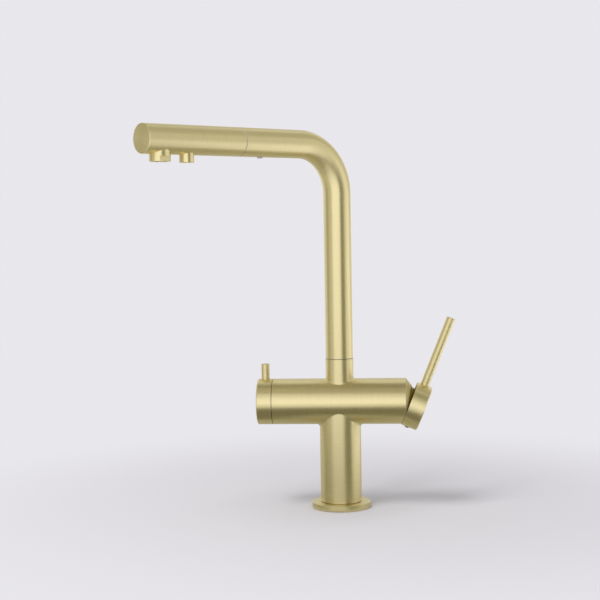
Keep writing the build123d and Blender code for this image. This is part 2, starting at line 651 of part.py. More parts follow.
# Cupped hub whose lip clears the barrel as it tips, with the ball that closes the coned ring.
rim_above = (dome_radius * cos(radians(dome_rim_above)), dome_radius * sin(radians(dome_rim_above)))
rim_below = (dome_radius * cos(radians(dome_rim_below)), -dome_radius * sin(radians(dome_rim_below)))
past_dome = dome_radius + overshoot
with BuildPart() as lever_hub:
    with Locations(pivot):
        Sphere(dome_radius)
        Sphere(dome_radius - dome_wall, mode=Mode.SUBTRACT)
    extrude(outline(lever_plane, rim_above, (rim_above[0], past_dome), (-past_dome, past_dome),
                    (-past_dome, -past_dome), (rim_below[0], -past_dome), rim_below),
            amount=past_dome, both=True, mode=Mode.SUBTRACT)
    revolve(outline(lever_plane, (hub_near, hub_radius - hub_lip),
                    (hub_near + hub_recess_depth, hub_recess_radius),
                    (hub_near + hub_floor_depth, hub_boss_radius + 2 * free),
                    (hub_near + hub_floor_depth, hub_boss_radius), (hub_boss_near, hub_boss_radius),
                    (hub_boss_near, 0), (hub_far, 0), (hub_far, hub_radius - hub_bevel),
                    (hub_far - hub_bevel, hub_radius), (hub_near, hub_radius)), axis=lever_axis)
    extrude(outline(lever_plane, (hub_boss_near, -stem_side / 2 - threaded),
                    (socket_end, -stem_side / 2 - threaded), (socket_end, stem_side / 2 + threaded),
                    (hub_boss_near, stem_side / 2 + threaded)),
            amount=stem_side / 2 + threaded, both=True, mode=Mode.SUBTRACT)
    extrude(disc(across(pivot + tilt_along * hub_screw_along, -tilt_up), (0, 0),
                 hub_screw_radius + threaded), amount=hub_radius + overshoot, mode=Mode.SUBTRACT)
    extrude(disc(across(pivot + tilt_along * rod_along + tilt_up * (hub_radius - rod_seat), tilt_up),
                 (0, 0), rod_radius + threaded), amount=rod_seat + overshoot, mode=Mode.SUBTRACT)
    extrude(disc(across(pivot + tilt_along * rod_along + tilt_up * (hub_radius - rod_seat), -tilt_up),
                 (0, 0), rod_root_radius + threaded), amount=rod_root_length + threaded,
            mode=Mode.SUBTRACT)
lever_hub.part.label = "lever_hub"
export_step(lever_hub.part, "parts/lever_hub.step")

# Set screw reached through the hub's underside: it grips the stem.
with BuildPart() as hub_set_screw:
    screw_tip = stem_side / 2 + threaded
    extrude(disc(across(pivot + tilt_along * hub_screw_along - tilt_up * screw_tip, -tilt_up), (0, 0),
                 hub_screw_radius), amount=hub_boss_radius - screw_tip)
    with BuildSketch(across(pivot + tilt_along * hub_screw_along - tilt_up * hub_boss_radius, tilt_up)):
        RegularPolygon(hub_screw_radius / 2, 6)
    extrude(amount=hub_screw_radius, mode=Mode.SUBTRACT)
hub_set_screw.part.label = "hub_set_screw"
export_step(hub_set_screw.part, "parts/hub_set_screw.step")

# Small plug in the mouth of the set screw's access hole, standing a little proud of the hub.
with BuildPart() as hub_plug:
    plug_foot = hub_radius + hub_plug_proud - hub_plug_length
    extrude(disc(across(pivot + tilt_along * hub_screw_along - tilt_up * plug_foot, -tilt_up), (0, 0),
                 hub_screw_radius), amount=hub_plug_length)
hub_plug.part.label = "hub_plug"
export_step(hub_plug.part, "parts/hub_plug.step")

# Plain round rod screwed into the hub's rim.
with BuildPart() as lever_rod:
    rod_foot = pivot + tilt_along * rod_along + tilt_up * (hub_radius - rod_seat)
    extrude(disc(across(rod_foot, tilt_up), (0, 0), rod_radius),
            amount=rod_tip - hub_radius + rod_seat)
    chamfer(lever_rod.faces().sort_by(Axis(rod_foot, tilt_up))[-1].edges(), rod_bevel)
    extrude(disc(across(rod_foot, -tilt_up), (0, 0), rod_root_radius), amount=rod_root_length)
lever_rod.part.label = "lever_rod"
export_step(lever_rod.part, "parts/lever_rod.step")

# ================================================================ filtered water valve
seal_end = valve_floor + valve_seal_thickness
valve_fixed_end = seal_end + valve_disc_thickness
valve_moving_end = valve_fixed_end + valve_disc_thickness
plate_end = valve_moving_end + spindle_plate_thickness
hex_end = valve_hex_start + valve_hex_thickness
valve_end = hex_end + valve_neck_length
knob_near = barrel_left + seam
knob_far = knob_near + knob_length
knob_floor = knob_near + knob_recess_depth

# Screwed brass cartridge body with its hexagon.
with BuildPart() as valve_housing:
    revolve(band(barrel_plane, -valve_thread_start, -valve_floor, 0, valve_body_radius), axis=barrel_axis)
    revolve(band(barrel_plane, -valve_hex_start, -valve_thread_start, 0, valve_thread_radius),
            axis=barrel_axis)
    with BuildSketch(across((-valve_hex_start, 0, barrel_height), (-1, 0, 0))):
        RegularPolygon(valve_hex_flats / 2, 6, major_radius=False)
    extrude(amount=valve_hex_thickness)
    revolve(band(barrel_plane, -valve_end, -hex_end, 0, valve_neck_radius), axis=barrel_axis)
    revolve(band(barrel_plane, -plate_end - running, -valve_floor, 0, valve_disc_radius + running),
            axis=barrel_axis, mode=Mode.SUBTRACT)
    revolve(band(barrel_plane, -valve_end, -plate_end, 0, spindle_radius + running),
            axis=barrel_axis, mode=Mode.SUBTRACT)
valve_housing.part.label = "valve_housing"
export_step(valve_housing.part, "parts/valve_housing.step")

# Rubber face seal and the two ceramic discs.
with BuildPart() as valve_seal:
    revolve(band(barrel_plane, -seal_end, -valve_floor, 0, valve_disc_radius), axis=barrel_axis)
    for side in (-valve_port_across, valve_port_across):
        extrude(disc(across((-valve_floor, side, barrel_height), (-1, 0, 0)), (0, 0), valve_port_radius),
                amount=valve_seal_thickness, mode=Mode.SUBTRACT)
valve_seal.part.label = "valve_seal"
export_step(valve_seal.part, "parts/valve_seal.step")

with BuildPart() as valve_fixed_disc:
    revolve(band(barrel_plane, -valve_fixed_end, -seal_end, 0, valve_disc_radius), axis=barrel_axis)
    for side in (-valve_port_across, valve_port_across):
        extrude(disc(across((-seal_end, side, barrel_height), (-1, 0, 0)), (0, 0), valve_port_radius),
                amount=valve_disc_thickness, mode=Mode.SUBTRACT)
valve_fixed_disc.part.label = "valve_fixed_disc"
export_step(valve_fixed_disc.part, "parts/valve_fixed_disc.step")

# The moving disc's slot stands upright when the valve is shut, and joins the ports when open.
with BuildPart() as valve_moving_disc:
    revolve(band(barrel_plane, -valve_moving_end, -valve_fixed_end, 0, valve_disc_radius), axis=barrel_axis)
    with BuildSketch(Plane(origin=(-valve_fixed_end, 0, barrel_height), x_dir=(0, 0, 1), z_dir=(-1, 0, 0))):
        SlotOverall(2 * (valve_port_across + valve_port_radius), 2 * valve_port_radius)
    extrude(amount=valve_slot_depth, mode=Mode.SUBTRACT)
valve_moving_disc.part.label = "valve_moving_disc"
export_step(valve_moving_disc.part, "parts/valve_moving_disc.step")

# Brass spindle with a plate that drives the moving disc and two grooves for rubber rings.
spindle_end = knob_floor + knob_socket_depth - free
groove_floor = spindle_radius - spindle_groove_depth
ring_places = [plate_end + along for along in spindle_rings_at]
with BuildPart() as valve_spindle:
    revolve(band(barrel_plane, -plate_end, -valve_moving_end, 0, valve_disc_radius), axis=barrel_axis)
    revolve(band(barrel_plane, -spindle_end, -plate_end, 0, spindle_radius), axis=barrel_axis)
    for place in ring_places:
        revolve(band(barrel_plane, -place - spindle_groove_depth, -place + spindle_groove_depth,
                     groove_floor, spindle_radius + overshoot), axis=barrel_axis, mode=Mode.SUBTRACT)
valve_spindle.part.label = "valve_spindle"
export_step(valve_spindle.part, "parts/valve_spindle.step")

with BuildPart() as spindle_rings:
    ring_section = spindle_groove_depth / 2
    for place in ring_places:
        revolve(disc(barrel_plane, (-place, groove_floor + ring_section + running), ring_section),
                axis=barrel_axis)
spindle_rings.part.label = "spindle_rings"
export_step(spindle_rings.part, "parts/spindle_rings.step")

# Low-friction plastic ring pressed into the body: the knob turns on it.
guide_end = knob_floor - free
with BuildPart() as knob_guide_ring:
    revolve(band(barrel_plane, -guide_end, -guide_floor, guide_radius - guide_wall, guide_radius),
            axis=barrel_axis)
knob_guide_ring.part.label = "knob_guide_ring"
export_step(knob_guide_ring.part, "parts/knob_guide_ring.step")

# Round knob flush with the barrel, and the pin that turns it.
pin_place = knob_near + knob_pin_along
with BuildPart() as filter_knob:
    revolve(band(barrel_plane, -knob_far, -knob_near, 0, barrel_radius), axis=barrel_axis)
    fillet(filter_knob.faces().sort_by(Axis.X)[0].edges(), knob_round)
    revolve(band(barrel_plane, -knob_floor, -knob_near, 0, guide_radius + running), axis=barrel_axis,
            mode=Mode.SUBTRACT)
    revolve(band(barrel_plane, -knob_floor - knob_socket_depth, -knob_floor, 0,
                 spindle_radius + threaded), axis=barrel_axis, mode=Mode.SUBTRACT)
    seat_height = barrel_height + barrel_radius - knob_pin_seat
    extrude(disc(across((-pin_place, 0, seat_height), (0, 0, 1)), (0, 0), knob_pin_radius + threaded),
            amount=knob_pin_seat + overshoot, mode=Mode.SUBTRACT)
    extrude(disc(across((-pin_place, 0, barrel_height), (0, 0, 1)), (0, 0),
                 knob_pin_root_radius + threaded), amount=barrel_radius - knob_pin_seat,
            mode=Mode.SUBTRACT)
filter_knob.part.label = "filter_knob"
export_step(filter_knob.part, "parts/filter_knob.step")

with BuildPart() as knob_pin:
    extrude(disc(across((-pin_place, 0, seat_height), (0, 0, 1)), (0, 0), knob_pin_radius),
            amount=knob_pin_seat + knob_pin_height)
    chamfer(knob_pin.faces().sort_by(Axis.Z)[-1].edges(), knob_pin_bevel)
    extrude(disc(across((-pin_place, 0, seat_height), (0, 0, -1)), (0, 0), knob_pin_root_radius),
            amount=barrel_radius - knob_pin_seat - spindle_radius - threaded)
knob_pin.part.label = "knob_pin"
export_step(knob_pin.part, "parts/knob_pin.step")

# ================================================================ spout
# Bent brass tube: riser, bend and level arm.
with BuildPart() as spout_tube:
    with BuildLine(arm_plane) as spout_line:
        Line((0, spout_foot - arm_height), (0, -bend_radius))
        RadiusArc((0, -bend_radius), (bend_radius, 0), bend_radius)
        Line((bend_radius, 0), (arm_end, 0))
    with BuildSketch(Plane.XY.offset(spout_foot)):
        Circle(tube_radius)
        Circle(tube_bore, mode=Mode.SUBTRACT)
    sweep(path=spout_line.wires()[0])
    dock_screw_place = arm_centre + arm * dock_screw_along
    extrude(disc(across(dock_screw_place, (0, 0, -1)), (0, 0), dock_screw_radius + threaded),
            amount=tube_radius + overshoot, mode=Mode.SUBTRACT)
spout_tube.part.label = "spout_tube"
export_step(spout_tube.part, "parts/spout_tube.step")

# Thin dark slip ring between neck and spout.
with BuildPart() as slip_ring:
    revolve(hoop(column_plane, neck_top, spout_foot, neck_bore + free, neck_radius - slip_ring_inset),
            axis=Axis.Z)
slip_ring.part.label = "slip_ring"
export_step(slip_ring.part, "parts/slip_ring.step")

# Brass bush fixed in the spout's foot. It turns in the neck on two rubber rings, and its part
# groove meets the stop screw at both ends of the swing.
bush_low = neck_top - neck_bore_depth + free
bush_radius = neck_bore - running
ring_heights = [spout_foot - below for below in bush_rings_at]
bush_ring_floor = bush_radius - 2 * bush_ring_section
stop_margin = 14.0          # half the screw's own width, as an angle, and room beside it
groove_start = stop_screw_bearing - swing_right - stop_margin
groove_sweep = swing_left + swing_right + 2 * stop_margin
with BuildPart() as swivel_bush:
    revolve(hoop(column_plane, bush_low, spout_foot, bush_bore, bush_radius), axis=Axis.Z)
    revolve(hoop(column_plane, spout_foot, spout_foot + bush_up, bush_bore, tube_bore - threaded),
            axis=Axis.Z)
    for height in ring_heights:
        revolve(hoop(column_plane, height - bush_ring_groove / 2, height + bush_ring_groove / 2,
                     bush_ring_floor, neck_bore + overshoot), axis=Axis.Z, mode=Mode.SUBTRACT)
    groove_plane = Plane.XZ.rotated((0, 0, groove_start))
    revolve(hoop(groove_plane, stop_screw_height - swivel_groove_width / 2,
                 stop_screw_height + swivel_groove_width / 2, swivel_groove_floor, neck_bore + overshoot),
            axis=Axis.Z, revolution_arc=groove_sweep, mode=Mode.SUBTRACT)
swivel_bush.part.label = "swivel_bush"
export_step(swivel_bush.part, "parts/swivel_bush.step")

with BuildPart() as swivel_rings:
    for height in ring_heights:
        revolve(disc(column_plane, (bush_radius - bush_ring_section, height), bush_ring_section),
                axis=Axis.Z)
swivel_rings.part.label = "swivel_rings"
export_step(swivel_rings.part, "parts/swivel_rings.step")

# Pale plastic docking sleeve in the arm's mouth, and the screw that holds it.
with BuildPart() as docking_sleeve:
    sleeve_start = arm_end - dock_sleeve_length
    socket_floor = head_start - dock_socket_depth
    revolve(outline(arm_plane, (sleeve_start, dock_bore), (socket_floor, dock_bore),
                    (socket_floor, dock_socket_radius), (head_start, dock_socket_radius),
                    (head_start, tube_radius - dock_ring_inset), (arm_end, tube_radius - dock_ring_inset),
                    (arm_end, tube_bore - threaded), (sleeve_start, tube_bore - threaded)),
            axis=arm_axis)
    extrude(disc(across(dock_screw_place, (0, 0, -1)), (0, 0), dock_screw_radius + threaded),
            amount=tube_radius, mode=Mode.SUBTRACT)
docking_sleeve.part.label = "docking_sleeve"
export_step(docking_sleeve.part, "parts/docking_sleeve.step")

with BuildPart() as docking_screw:
    screw_mouth = arm_centre + arm * dock_screw_along - Vector(0, 0, dock_screw_tip)
    extrude(disc(across(screw_mouth, (0, 0, -1)), (0, 0), dock_screw_radius),
            amount=tube_radius + dock_screw_proud - dock_screw_tip)
    with BuildSketch(across(screw_mouth - Vector(0, 0, tube_radius + dock_screw_proud - dock_screw_tip),
                            (0, 0, 1))):
        RegularPolygon(dock_screw_radius / 2, 6)
    extrude(amount=dock_screw_radius, mode=Mode.SUBTRACT)
docking_screw.part.label = "docking_screw"
export_step(docking_screw.part, "parts/docking_screw.step")

# Pull-out hose with the filtered-water tube inside it. The rear stretch lies in the riser and the
# bend, down to the shank's end, and the front stretch is drawn out with the head.
with BuildPart() as hose_rear:
    with BuildLine(arm_plane) as hose_line:
        Line((0, -shank_reach - arm_height), (0, -bend_radius))
        RadiusArc((0, -bend_radius), (bend_radius, 0), bend_radius)
        Line((bend_radius, 0), (hose_split, 0))
    with BuildSketch(Plane.XY.offset(-shank_reach)):
        Circle(hose_radius)
        Circle(hose_bore, mode=Mode.SUBTRACT)
    sweep(path=hose_line.wires()[0])
hose_rear.part.label = "hose_rear"
export_step(hose_rear.part, "parts/hose_rear.step")

with BuildPart() as inner_tube_rear:
    with BuildLine(arm_plane) as inner_line:
        Line((0, -shank_reach - arm_height), (0, -bend_radius))
        RadiusArc((0, -bend_radius), (bend_radius, 0), bend_radius)
        Line((bend_radius, 0), (hose_split, 0))
    with BuildSketch(Plane.XY.offset(-shank_reach)):
        Circle(inner_tube_radius)
        Circle(inner_tube_bore, mode=Mode.SUBTRACT)
    sweep(path=inner_line.wires()[0])
inner_tube_rear.part.label = "inner_tube_rear"
export_step(inner_tube_rear.part, "parts/inner_tube_rear.step")

# ================================================================ pull-out head
connector_start = head_start - spigot_length + connector_inset
connector_end = connector_start + connector_length
chamber_end = connector_end + mixing_chamber_length
front_start = hose_split + hose_split_gap
with BuildPart() as hose_front:
    revolve(band(arm_plane, front_start, connector_start, hose_bore, hose_radius), axis=arm_axis)
hose_front.part.label = "hose_front"
export_step(hose_front.part, "parts/hose_front.step")

with BuildPart() as inner_tube_front:
    revolve(band(arm_plane, front_start, chamber_end + inner_tube_grip, inner_tube_bore,
                 inner_tube_radius), axis=arm_axis)
inner_tube_front.part.label = "inner_tube_front"
export_step(inner_tube_front.part, "parts/inner_tube_front.step")

# Brass connector crimped on the hose and screwed into the head's core.
with BuildPart() as hose_connector:
    revolve(outline(arm_plane, (connector_start - ferrule_length, hose_radius + threaded),
                    (connector_start, hose_radius + threaded), (connector_start, hose_bore),
                    (connector_end, hose_bore), (connector_end, connector_radius),
                    (connector_start, connector_radius), (connector_start, ferrule_radius),
                    (connector_start - ferrule_length, ferrule_radius)), axis=arm_axis)
hose_connector.part.label = "hose_connector"
export_step(hose_connector.part, "parts/hose_connector.step")

# Satin brass shell: a straight tube with two holes below, and a flat cap let into its end.
head_bore = tube_radius - head_wall
cap_radius = head_bore + cap_rebate
with BuildPart() as head_shell:
    revolve(outline(arm_plane, (head_start, head_bore), (head_end - cap_thickness, head_bore),
                    (head_end - cap_thickness, cap_radius + threaded), (head_end, cap_radius + threaded),
                    (head_end, tube_radius - head_bevel), (head_end - head_bevel, tube_radius),
                    (head_start, tube_radius)), axis=arm_axis)
    for centre, radius in ((aerator_centre, aerator_radius), (nozzle_centre, nozzle_radius)):
        extrude(disc(across(centre, (0, 0, -1)), (0, 0), radius + threaded),
                amount=tube_radius + overshoot, mode=Mode.SUBTRACT)
head_shell.part.label = "head_shell"
export_step(head_shell.part, "parts/head_shell.step")

with BuildPart() as head_end_cap:
    revolve(band(arm_plane, head_end - cap_thickness, head_end, 0, cap_radius), axis=arm_axis)
head_end_cap.part.label = "head_end_cap"
export_step(head_end_cap.part, "parts/head_end_cap.step")

# Plastic core with two separate water ways.
core_low = head_start + core_start
core_high = head_end - core_end
core_radius = head_bore - threaded
spigot_start = head_start - spigot_length
aerator_thread_top = aerator_collar_top - aerator_thread_length
nozzle_thread_top = nozzle_collar_top - nozzle_thread_length
with BuildPart() as head_core:
    revolve(outline(arm_plane, (spigot_start, 0), (core_high, 0), (core_high, core_radius),
                    (core_low, core_radius), (core_low, spigot_radius), (spigot_start, spigot_radius)),
            axis=arm_axis)
    revolve(band(arm_plane, spigot_start, connector_start, 0, ferrule_radius + free), axis=arm_axis,
            mode=Mode.SUBTRACT)
    revolve(band(arm_plane, connector_start, connector_end, 0, connector_radius + threaded),
            axis=arm_axis, mode=Mode.SUBTRACT)
    revolve(band(arm_plane, connector_end, chamber_end, 0, connector_radius), axis=arm_axis,
            mode=Mode.SUBTRACT)
    revolve(band(arm_plane, chamber_end, chamber_end + inner_tube_grip, 0, inner_tube_radius + threaded),
            axis=arm_axis, mode=Mode.SUBTRACT)
    revolve(band(arm_plane, chamber_end, nozzle_along, 0, filter_way_radius), axis=arm_axis,
            mode=Mode.SUBTRACT)
    mixed_way = arm_centre + arm * connector_end + Vector(0, 0, mixed_way_rise)
    extrude(disc(across(mixed_way, arm), (0, 0), mixed_way_radius),
            amount=aerator_along - connector_end, mode=Mode.SUBTRACT)
    # seats and drops for the aerator and the nozzle
    revolve(hoop(aerator_plane, -tube_radius, -aerator_collar_top, 0, aerator_radius + threaded),
            axis=aerator_axis, mode=Mode.SUBTRACT)
    revolve(hoop(aerator_plane, -tube_radius, aerator_seal_thickness - aerator_thread_top, 0,
                 aerator_thread_radius + threaded), axis=aerator_axis, mode=Mode.SUBTRACT)
    revolve(hoop(aerator_plane, -tube_radius, mixed_way_rise, 0, mixed_drop_radius),
            axis=aerator_axis, mode=Mode.SUBTRACT)
    revolve(hoop(nozzle_plane, -tube_radius, -nozzle_collar_top, 0, nozzle_radius + threaded),
            axis=nozzle_axis, mode=Mode.SUBTRACT)
    revolve(hoop(nozzle_plane, -tube_radius, nozzle_seal_thickness - nozzle_thread_top, 0,
                 nozzle_thread_radius + threaded), axis=nozzle_axis, mode=Mode.SUBTRACT)
    revolve(hoop(nozzle_plane, -tube_radius, 0, 0, filter_drop_radius), axis=nozzle_axis,
            mode=Mode.SUBTRACT)
head_core.part.label = "head_core"
export_step(head_core.part, "parts/head_core.step")

# Screwed aerator housing with two spanner flats at its foot.
aerator_mouth = -aerator_drop
with BuildPart() as aerator_housing:
    revolve(outline(aerator_plane, (aerator_bore, aerator_mouth), (aerator_radius, aerator_mouth),
                    (aerator_radius, -aerator_collar_top), (aerator_thread_radius, -aerator_collar_top),
                    (aerator_thread_radius, -aerator_thread_top), (aerator_way, -aerator_thread_top),
                    (aerator_way, aerator_mouth + aerator_bore_depth),
                    (aerator_bore, aerator_mouth + aerator_bore_depth)), axis=aerator_axis)
    foot_plane = Plane(origin=aerator_centre + Vector(0, 0, aerator_mouth), x_dir=arm, z_dir=(0, 0, 1))
    with BuildSketch(foot_plane):
        with Locations((0, aerator_flats / 2 + aerator_radius), (0, -aerator_flats / 2 - aerator_radius)):
            Rectangle(3 * aerator_radius, 2 * aerator_radius)
    extrude(amount=aerator_flats_height, mode=Mode.SUBTRACT)
aerator_housing.part.label = "aerator_housing"
export_step(aerator_housing.part, "parts/aerator_housing.step")

# Plastic stream former: a ring of holes round a finer ring.
insert_low = aerator_mouth + aerator_insert_sink
with BuildPart() as aerator_insert:
    revolve(hoop(aerator_plane, insert_low, insert_low + aerator_insert_thickness, 0,
                 aerator_bore - threaded), axis=aerator_axis)
    insert_face = Plane(origin=aerator_centre + Vector(0, 0, insert_low), x_dir=arm, z_dir=(0, 0, 1))
    with BuildSketch(insert_face):
        for ring in range(1, aerator_ring_count + 1):
            with PolarLocations(ring * aerator_ring_step, ring * first_ring_count):
                Circle(stream_hole_radius)
    extrude(amount=aerator_insert_thickness, mode=Mode.SUBTRACT)
aerator_insert.part.label = "aerator_insert"
export_step(aerator_insert.part, "parts/aerator_insert.step")

with BuildPart() as aerator_seal:
    revolve(hoop(aerator_plane, -aerator_thread_top, aerator_seal_thickness - aerator_thread_top,
                 aerator_way, aerator_thread_radius), axis=aerator_axis)
aerator_seal.part.label = "aerator_seal"
export_step(aerator_seal.part, "parts/aerator_seal.step")

# Filtered-water nozzle with its own small stream former.
nozzle_mouth = -nozzle_drop
with BuildPart() as filter_nozzle:
    revolve(outline(nozzle_plane, (nozzle_bore, nozzle_mouth), (nozzle_radius, nozzle_mouth),
                    (nozzle_radius, -nozzle_collar_top), (nozzle_thread_radius, -nozzle_collar_top),
                    (nozzle_thread_radius, -nozzle_thread_top), (nozzle_way, -nozzle_thread_top),
                    (nozzle_way, nozzle_mouth + nozzle_bore_depth),
                    (nozzle_bore, nozzle_mouth + nozzle_bore_depth)), axis=nozzle_axis)
filter_nozzle.part.label = "filter_nozzle"
export_step(filter_nozzle.part, "parts/filter_nozzle.step")

nozzle_insert_low = nozzle_mouth + nozzle_insert_sink
with BuildPart() as nozzle_insert:
    revolve(hoop(nozzle_plane, nozzle_insert_low, nozzle_insert_low + nozzle_insert_thickness, 0,
                 nozzle_bore - threaded), axis=nozzle_axis)
    insert_face = Plane(origin=nozzle_centre + Vector(0, 0, nozzle_insert_low), x_dir=arm,
                        z_dir=(0, 0, 1))
    with BuildSketch(insert_face):
        Circle(stream_hole_radius)
        with PolarLocations(nozzle_ring_radius, first_ring_count):
            Circle(stream_hole_radius)
    extrude(amount=nozzle_insert_thickness, mode=Mode.SUBTRACT)
nozzle_insert.part.label = "nozzle_insert"
export_step(nozzle_insert.part, "parts/nozzle_insert.step")

with BuildPart() as nozzle_seal:
    revolve(hoop(nozzle_plane, -nozzle_thread_top, nozzle_seal_thickness - nozzle_thread_top,
                 nozzle_way, nozzle_thread_radius), axis=nozzle_axis)
nozzle_seal.part.label = "nozzle_seal"
export_step(nozzle_seal.part, "parts/nozzle_seal.step")
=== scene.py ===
"""Three way filtered water tap, dressed for its portrait.

Everything is in metres, in the tap's own frame: the deck hole's centre at the deck's surface is the
origin, +X runs to the mixing lever, -Y is the user's side and +Z is up.
"""
import math

import bpy
import bmesh
from mathutils import Matrix, Vector


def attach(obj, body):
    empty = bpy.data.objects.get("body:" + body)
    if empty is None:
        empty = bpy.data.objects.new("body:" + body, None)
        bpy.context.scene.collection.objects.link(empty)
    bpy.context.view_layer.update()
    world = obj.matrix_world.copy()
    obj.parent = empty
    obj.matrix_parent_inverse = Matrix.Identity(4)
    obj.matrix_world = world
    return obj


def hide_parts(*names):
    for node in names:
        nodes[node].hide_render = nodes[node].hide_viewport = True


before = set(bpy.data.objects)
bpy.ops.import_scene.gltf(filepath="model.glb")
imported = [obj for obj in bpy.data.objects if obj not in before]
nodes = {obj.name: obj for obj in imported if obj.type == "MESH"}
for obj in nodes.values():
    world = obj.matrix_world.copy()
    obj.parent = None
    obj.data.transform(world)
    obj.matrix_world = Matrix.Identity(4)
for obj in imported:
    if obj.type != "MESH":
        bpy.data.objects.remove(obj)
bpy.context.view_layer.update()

# ---------------------------------------------------------------- floor
# The tap stands on a round of plain pale stone that fades into the backdrop's colour on every side.
# From below the stone isn't there, so that the clamp set can be seen.
backdrop_colour = (0.81, 0.80, 0.84, 1.0)
top_colour = (0.56, 0.55, 0.56, 1.0)
top_dull = 0.6
top_radius, top_corners = 0.75, 96
top_drop = 0.0002            # keeps the stone off the flange's seal
top_fades_from, top_fades_to = 0.10, 0.60


def fill(tree, node, **values):
    """Numbers or links into a node's sockets, by name, or by number where it starts with _."""
    for key, value in values.items():
        socket = node.inputs[int(key[1:]) if key[1:].isdigit() else key.replace("_", " ")]
        if isinstance(value, bpy.types.NodeSocket):
            tree.links.new(value, socket)
        else:
            socket.default_value = value
    return node


def add(tree, kind, settings=(), **values):
    """One shader node: its settings, then what goes into its sockets."""
    node = tree.nodes.new("ShaderNode" + kind)
    for key, value in dict(settings).items():
        setattr(node, key, value)
    return fill(tree, node, **values)


def vector(tree, operation, out="Vector", **values):
    """Sums with directions and places."""
    return add(tree, "VectorMath", {"operation": operation}, **values).outputs[out]


def on_piece(tree):
    """Where a point lies on its piece, in the tap's frame."""
    return add(tree, "TexCoord").outputs["Object"]


def new_finish(name):
    """An empty material with its shader: (material, tree, shader)."""
    material = bpy.data.materials.new(name)
    material.use_nodes = True
    return material, material.node_tree, material.node_tree.nodes["Principled BSDF"]


def worktop_stone():
    material, tree, shader = new_finish("worktop_stone")
    fill(tree, shader, Base_Color=top_colour, Roughness=top_dull, Specular_IOR_Level=0.0)
    away = vector(tree, "LENGTH", "Value", _0=on_piece(tree))
    fade = add(tree, "MapRange", {"interpolation_type": "SMOOTHERSTEP"}, Value=away,
               From_Min=top_fades_from, From_Max=top_fades_to).outputs["Result"]
    far = add(tree, "Emission", Color=backdrop_colour).outputs[0]
    seen = add(tree, "MixShader", _0=fade, _1=shader.outputs[0], _2=far).outputs[0]
    under = add(tree, "NewGeometry").outputs["Backfacing"]
    nothing = add(tree, "BsdfTransparent").outputs[0]
    seen = add(tree, "MixShader", _0=under, _1=seen, _2=nothing).outputs[0]
    fill(tree, tree.nodes["Material Output"], Surface=seen)
    return material


mesh = bpy.data.meshes.new("worktop")
shape = bmesh.new()
bmesh.ops.create_circle(shape, cap_ends=True, radius=top_radius, segments=top_corners)
shape.to_mesh(mesh)
shape.free()
mesh.materials.append(worktop_stone())
worktop = bpy.data.objects.new("worktop", mesh)
worktop.location.z = -top_drop
bpy.context.scene.collection.objects.link(worktop)

# ---------------------------------------------------------------- studio light
# The backdrop's colour lights the tap from every side, and a lamp above the user's left shoulder
# throws the shadow at its foot. Sheets of lit cloth hang all round, which only the shine shows.
world = bpy.data.worlds.new("studio")
world.use_nodes = True
world.node_tree.nodes["Background"].inputs["Color"].default_value = backdrop_colour
bpy.context.scene.world = world

lamp_place = Vector((-0.60, -0.75, 1.70))
lamp_size, lamp_power = 0.7, 21.0
shadow_light = bpy.data.lights.new("shadow_lamp", "AREA")
shadow_light.size = lamp_size
shadow_light.energy = lamp_power
shadow_lamp = bpy.data.objects.new("shadow_lamp", shadow_light)
shadow_lamp.location = lamp_place
shadow_lamp.rotation_euler = (-lamp_place).to_track_quat("-Z", "Y").to_euler()
shadow_lamp.visible_camera = shadow_lamp.visible_glossy = False
bpy.context.scene.collection.objects.link(shadow_lamp)

# Each cloth hangs between two bearings and two heights, in degrees seen from the tap: 0 is the
# user's side and 90 the lever's. The last number is how bright it is.
cloth_away = 2.4
cloth_centre = Vector((0, 0, 0.2))
cloths = {
    "front_top": (-41, 28, 42, 70, 0.48),
    "front_high": (-41, 28, 22, 42, 0.96),
    "front_middle": (-41, 28, 0, 22, 1.26),
    "front_low": (-41, 28, -22, 0, 1.38),
    "front_foot": (-41, 28, -45, -22, 0.85),
    "left_near": (-75, -41, -45, 70, 0.68),
    "left": (-105, -75, -45, 70, 0.42),
    "left_far": (-140, -105, -45, 70, 0.79),
    "right_near_low": (28, 46, -45, -9, 0.13),
    "right_near": (28, 46, -9, 70, 0.25),
    "right_dim_low": (46, 64, -45, -9, 0.62),
    "right_dim": (46, 64, -9, 70, 0.28),
    "right_low": (64, 86, -45, 0, 0.73),
    "right_high": (64, 86, 0, 70, 0.83),
    "lever_low": (86, 118, -45, 0, 1.45),
    "lever_middle": (86, 118, 0, 35, 0.82),
    "lever_high": (86, 118, 35, 70, 0.47),
    "right_far_low": (118, 150, -45, 0, 0.81),
    "right_far": (118, 150, 0, 70, 0.66),
    "back_right": (150, 172, -45, 70, 0.95),
    "back": (172, 196, -45, 30, 0.62),
    "back_high": (172, 196, 30, 70, 0.66),
    "back_left": (196, 220, -45, 70, 0.90),
    "ceiling": (-180, 180, 70, 89, 0.22),
}
# Each mat is a lit sheet on the floor round the flange, between two bearings and two distances from
# it, seen only in the shine: painted reflections of the floor's light and of its shade near the
# tap.
mats = {
    "foot_mat": (-180, 180, 0.00, 0.07, 0.40),
    "front_mat": (-90, 66, 0.07, 0.27, 0.20),
    "user_mat": (-48, 19, 0.27, 0.85, 0.97),
    "left_mat": (-90, -48, 0.27, 0.85, 0.66),
    "right_mat": (19, 66, 0.27, 0.85, 0.22),
    "hub_mat": (66, 140, 0.07, 0.26, 0.50),
    "lever_mat": (66, 140, 0.26, 0.90, 1.20),
    "back_mat": (140, 270, 0.07, 0.60, 0.47),
}
mat_height = 0.002
cloth_panes, mat_panes = (12, 12), (24, 1)
dimmest, brightest = 0.2, 1.1                # between these a cloth's colour goes from warm to pale
warm_green, warm_blue = 0.955, 0.66          # beside a red of 1
pale_green, pale_blue = 0.05, 0.40           # what the brightness adds to them


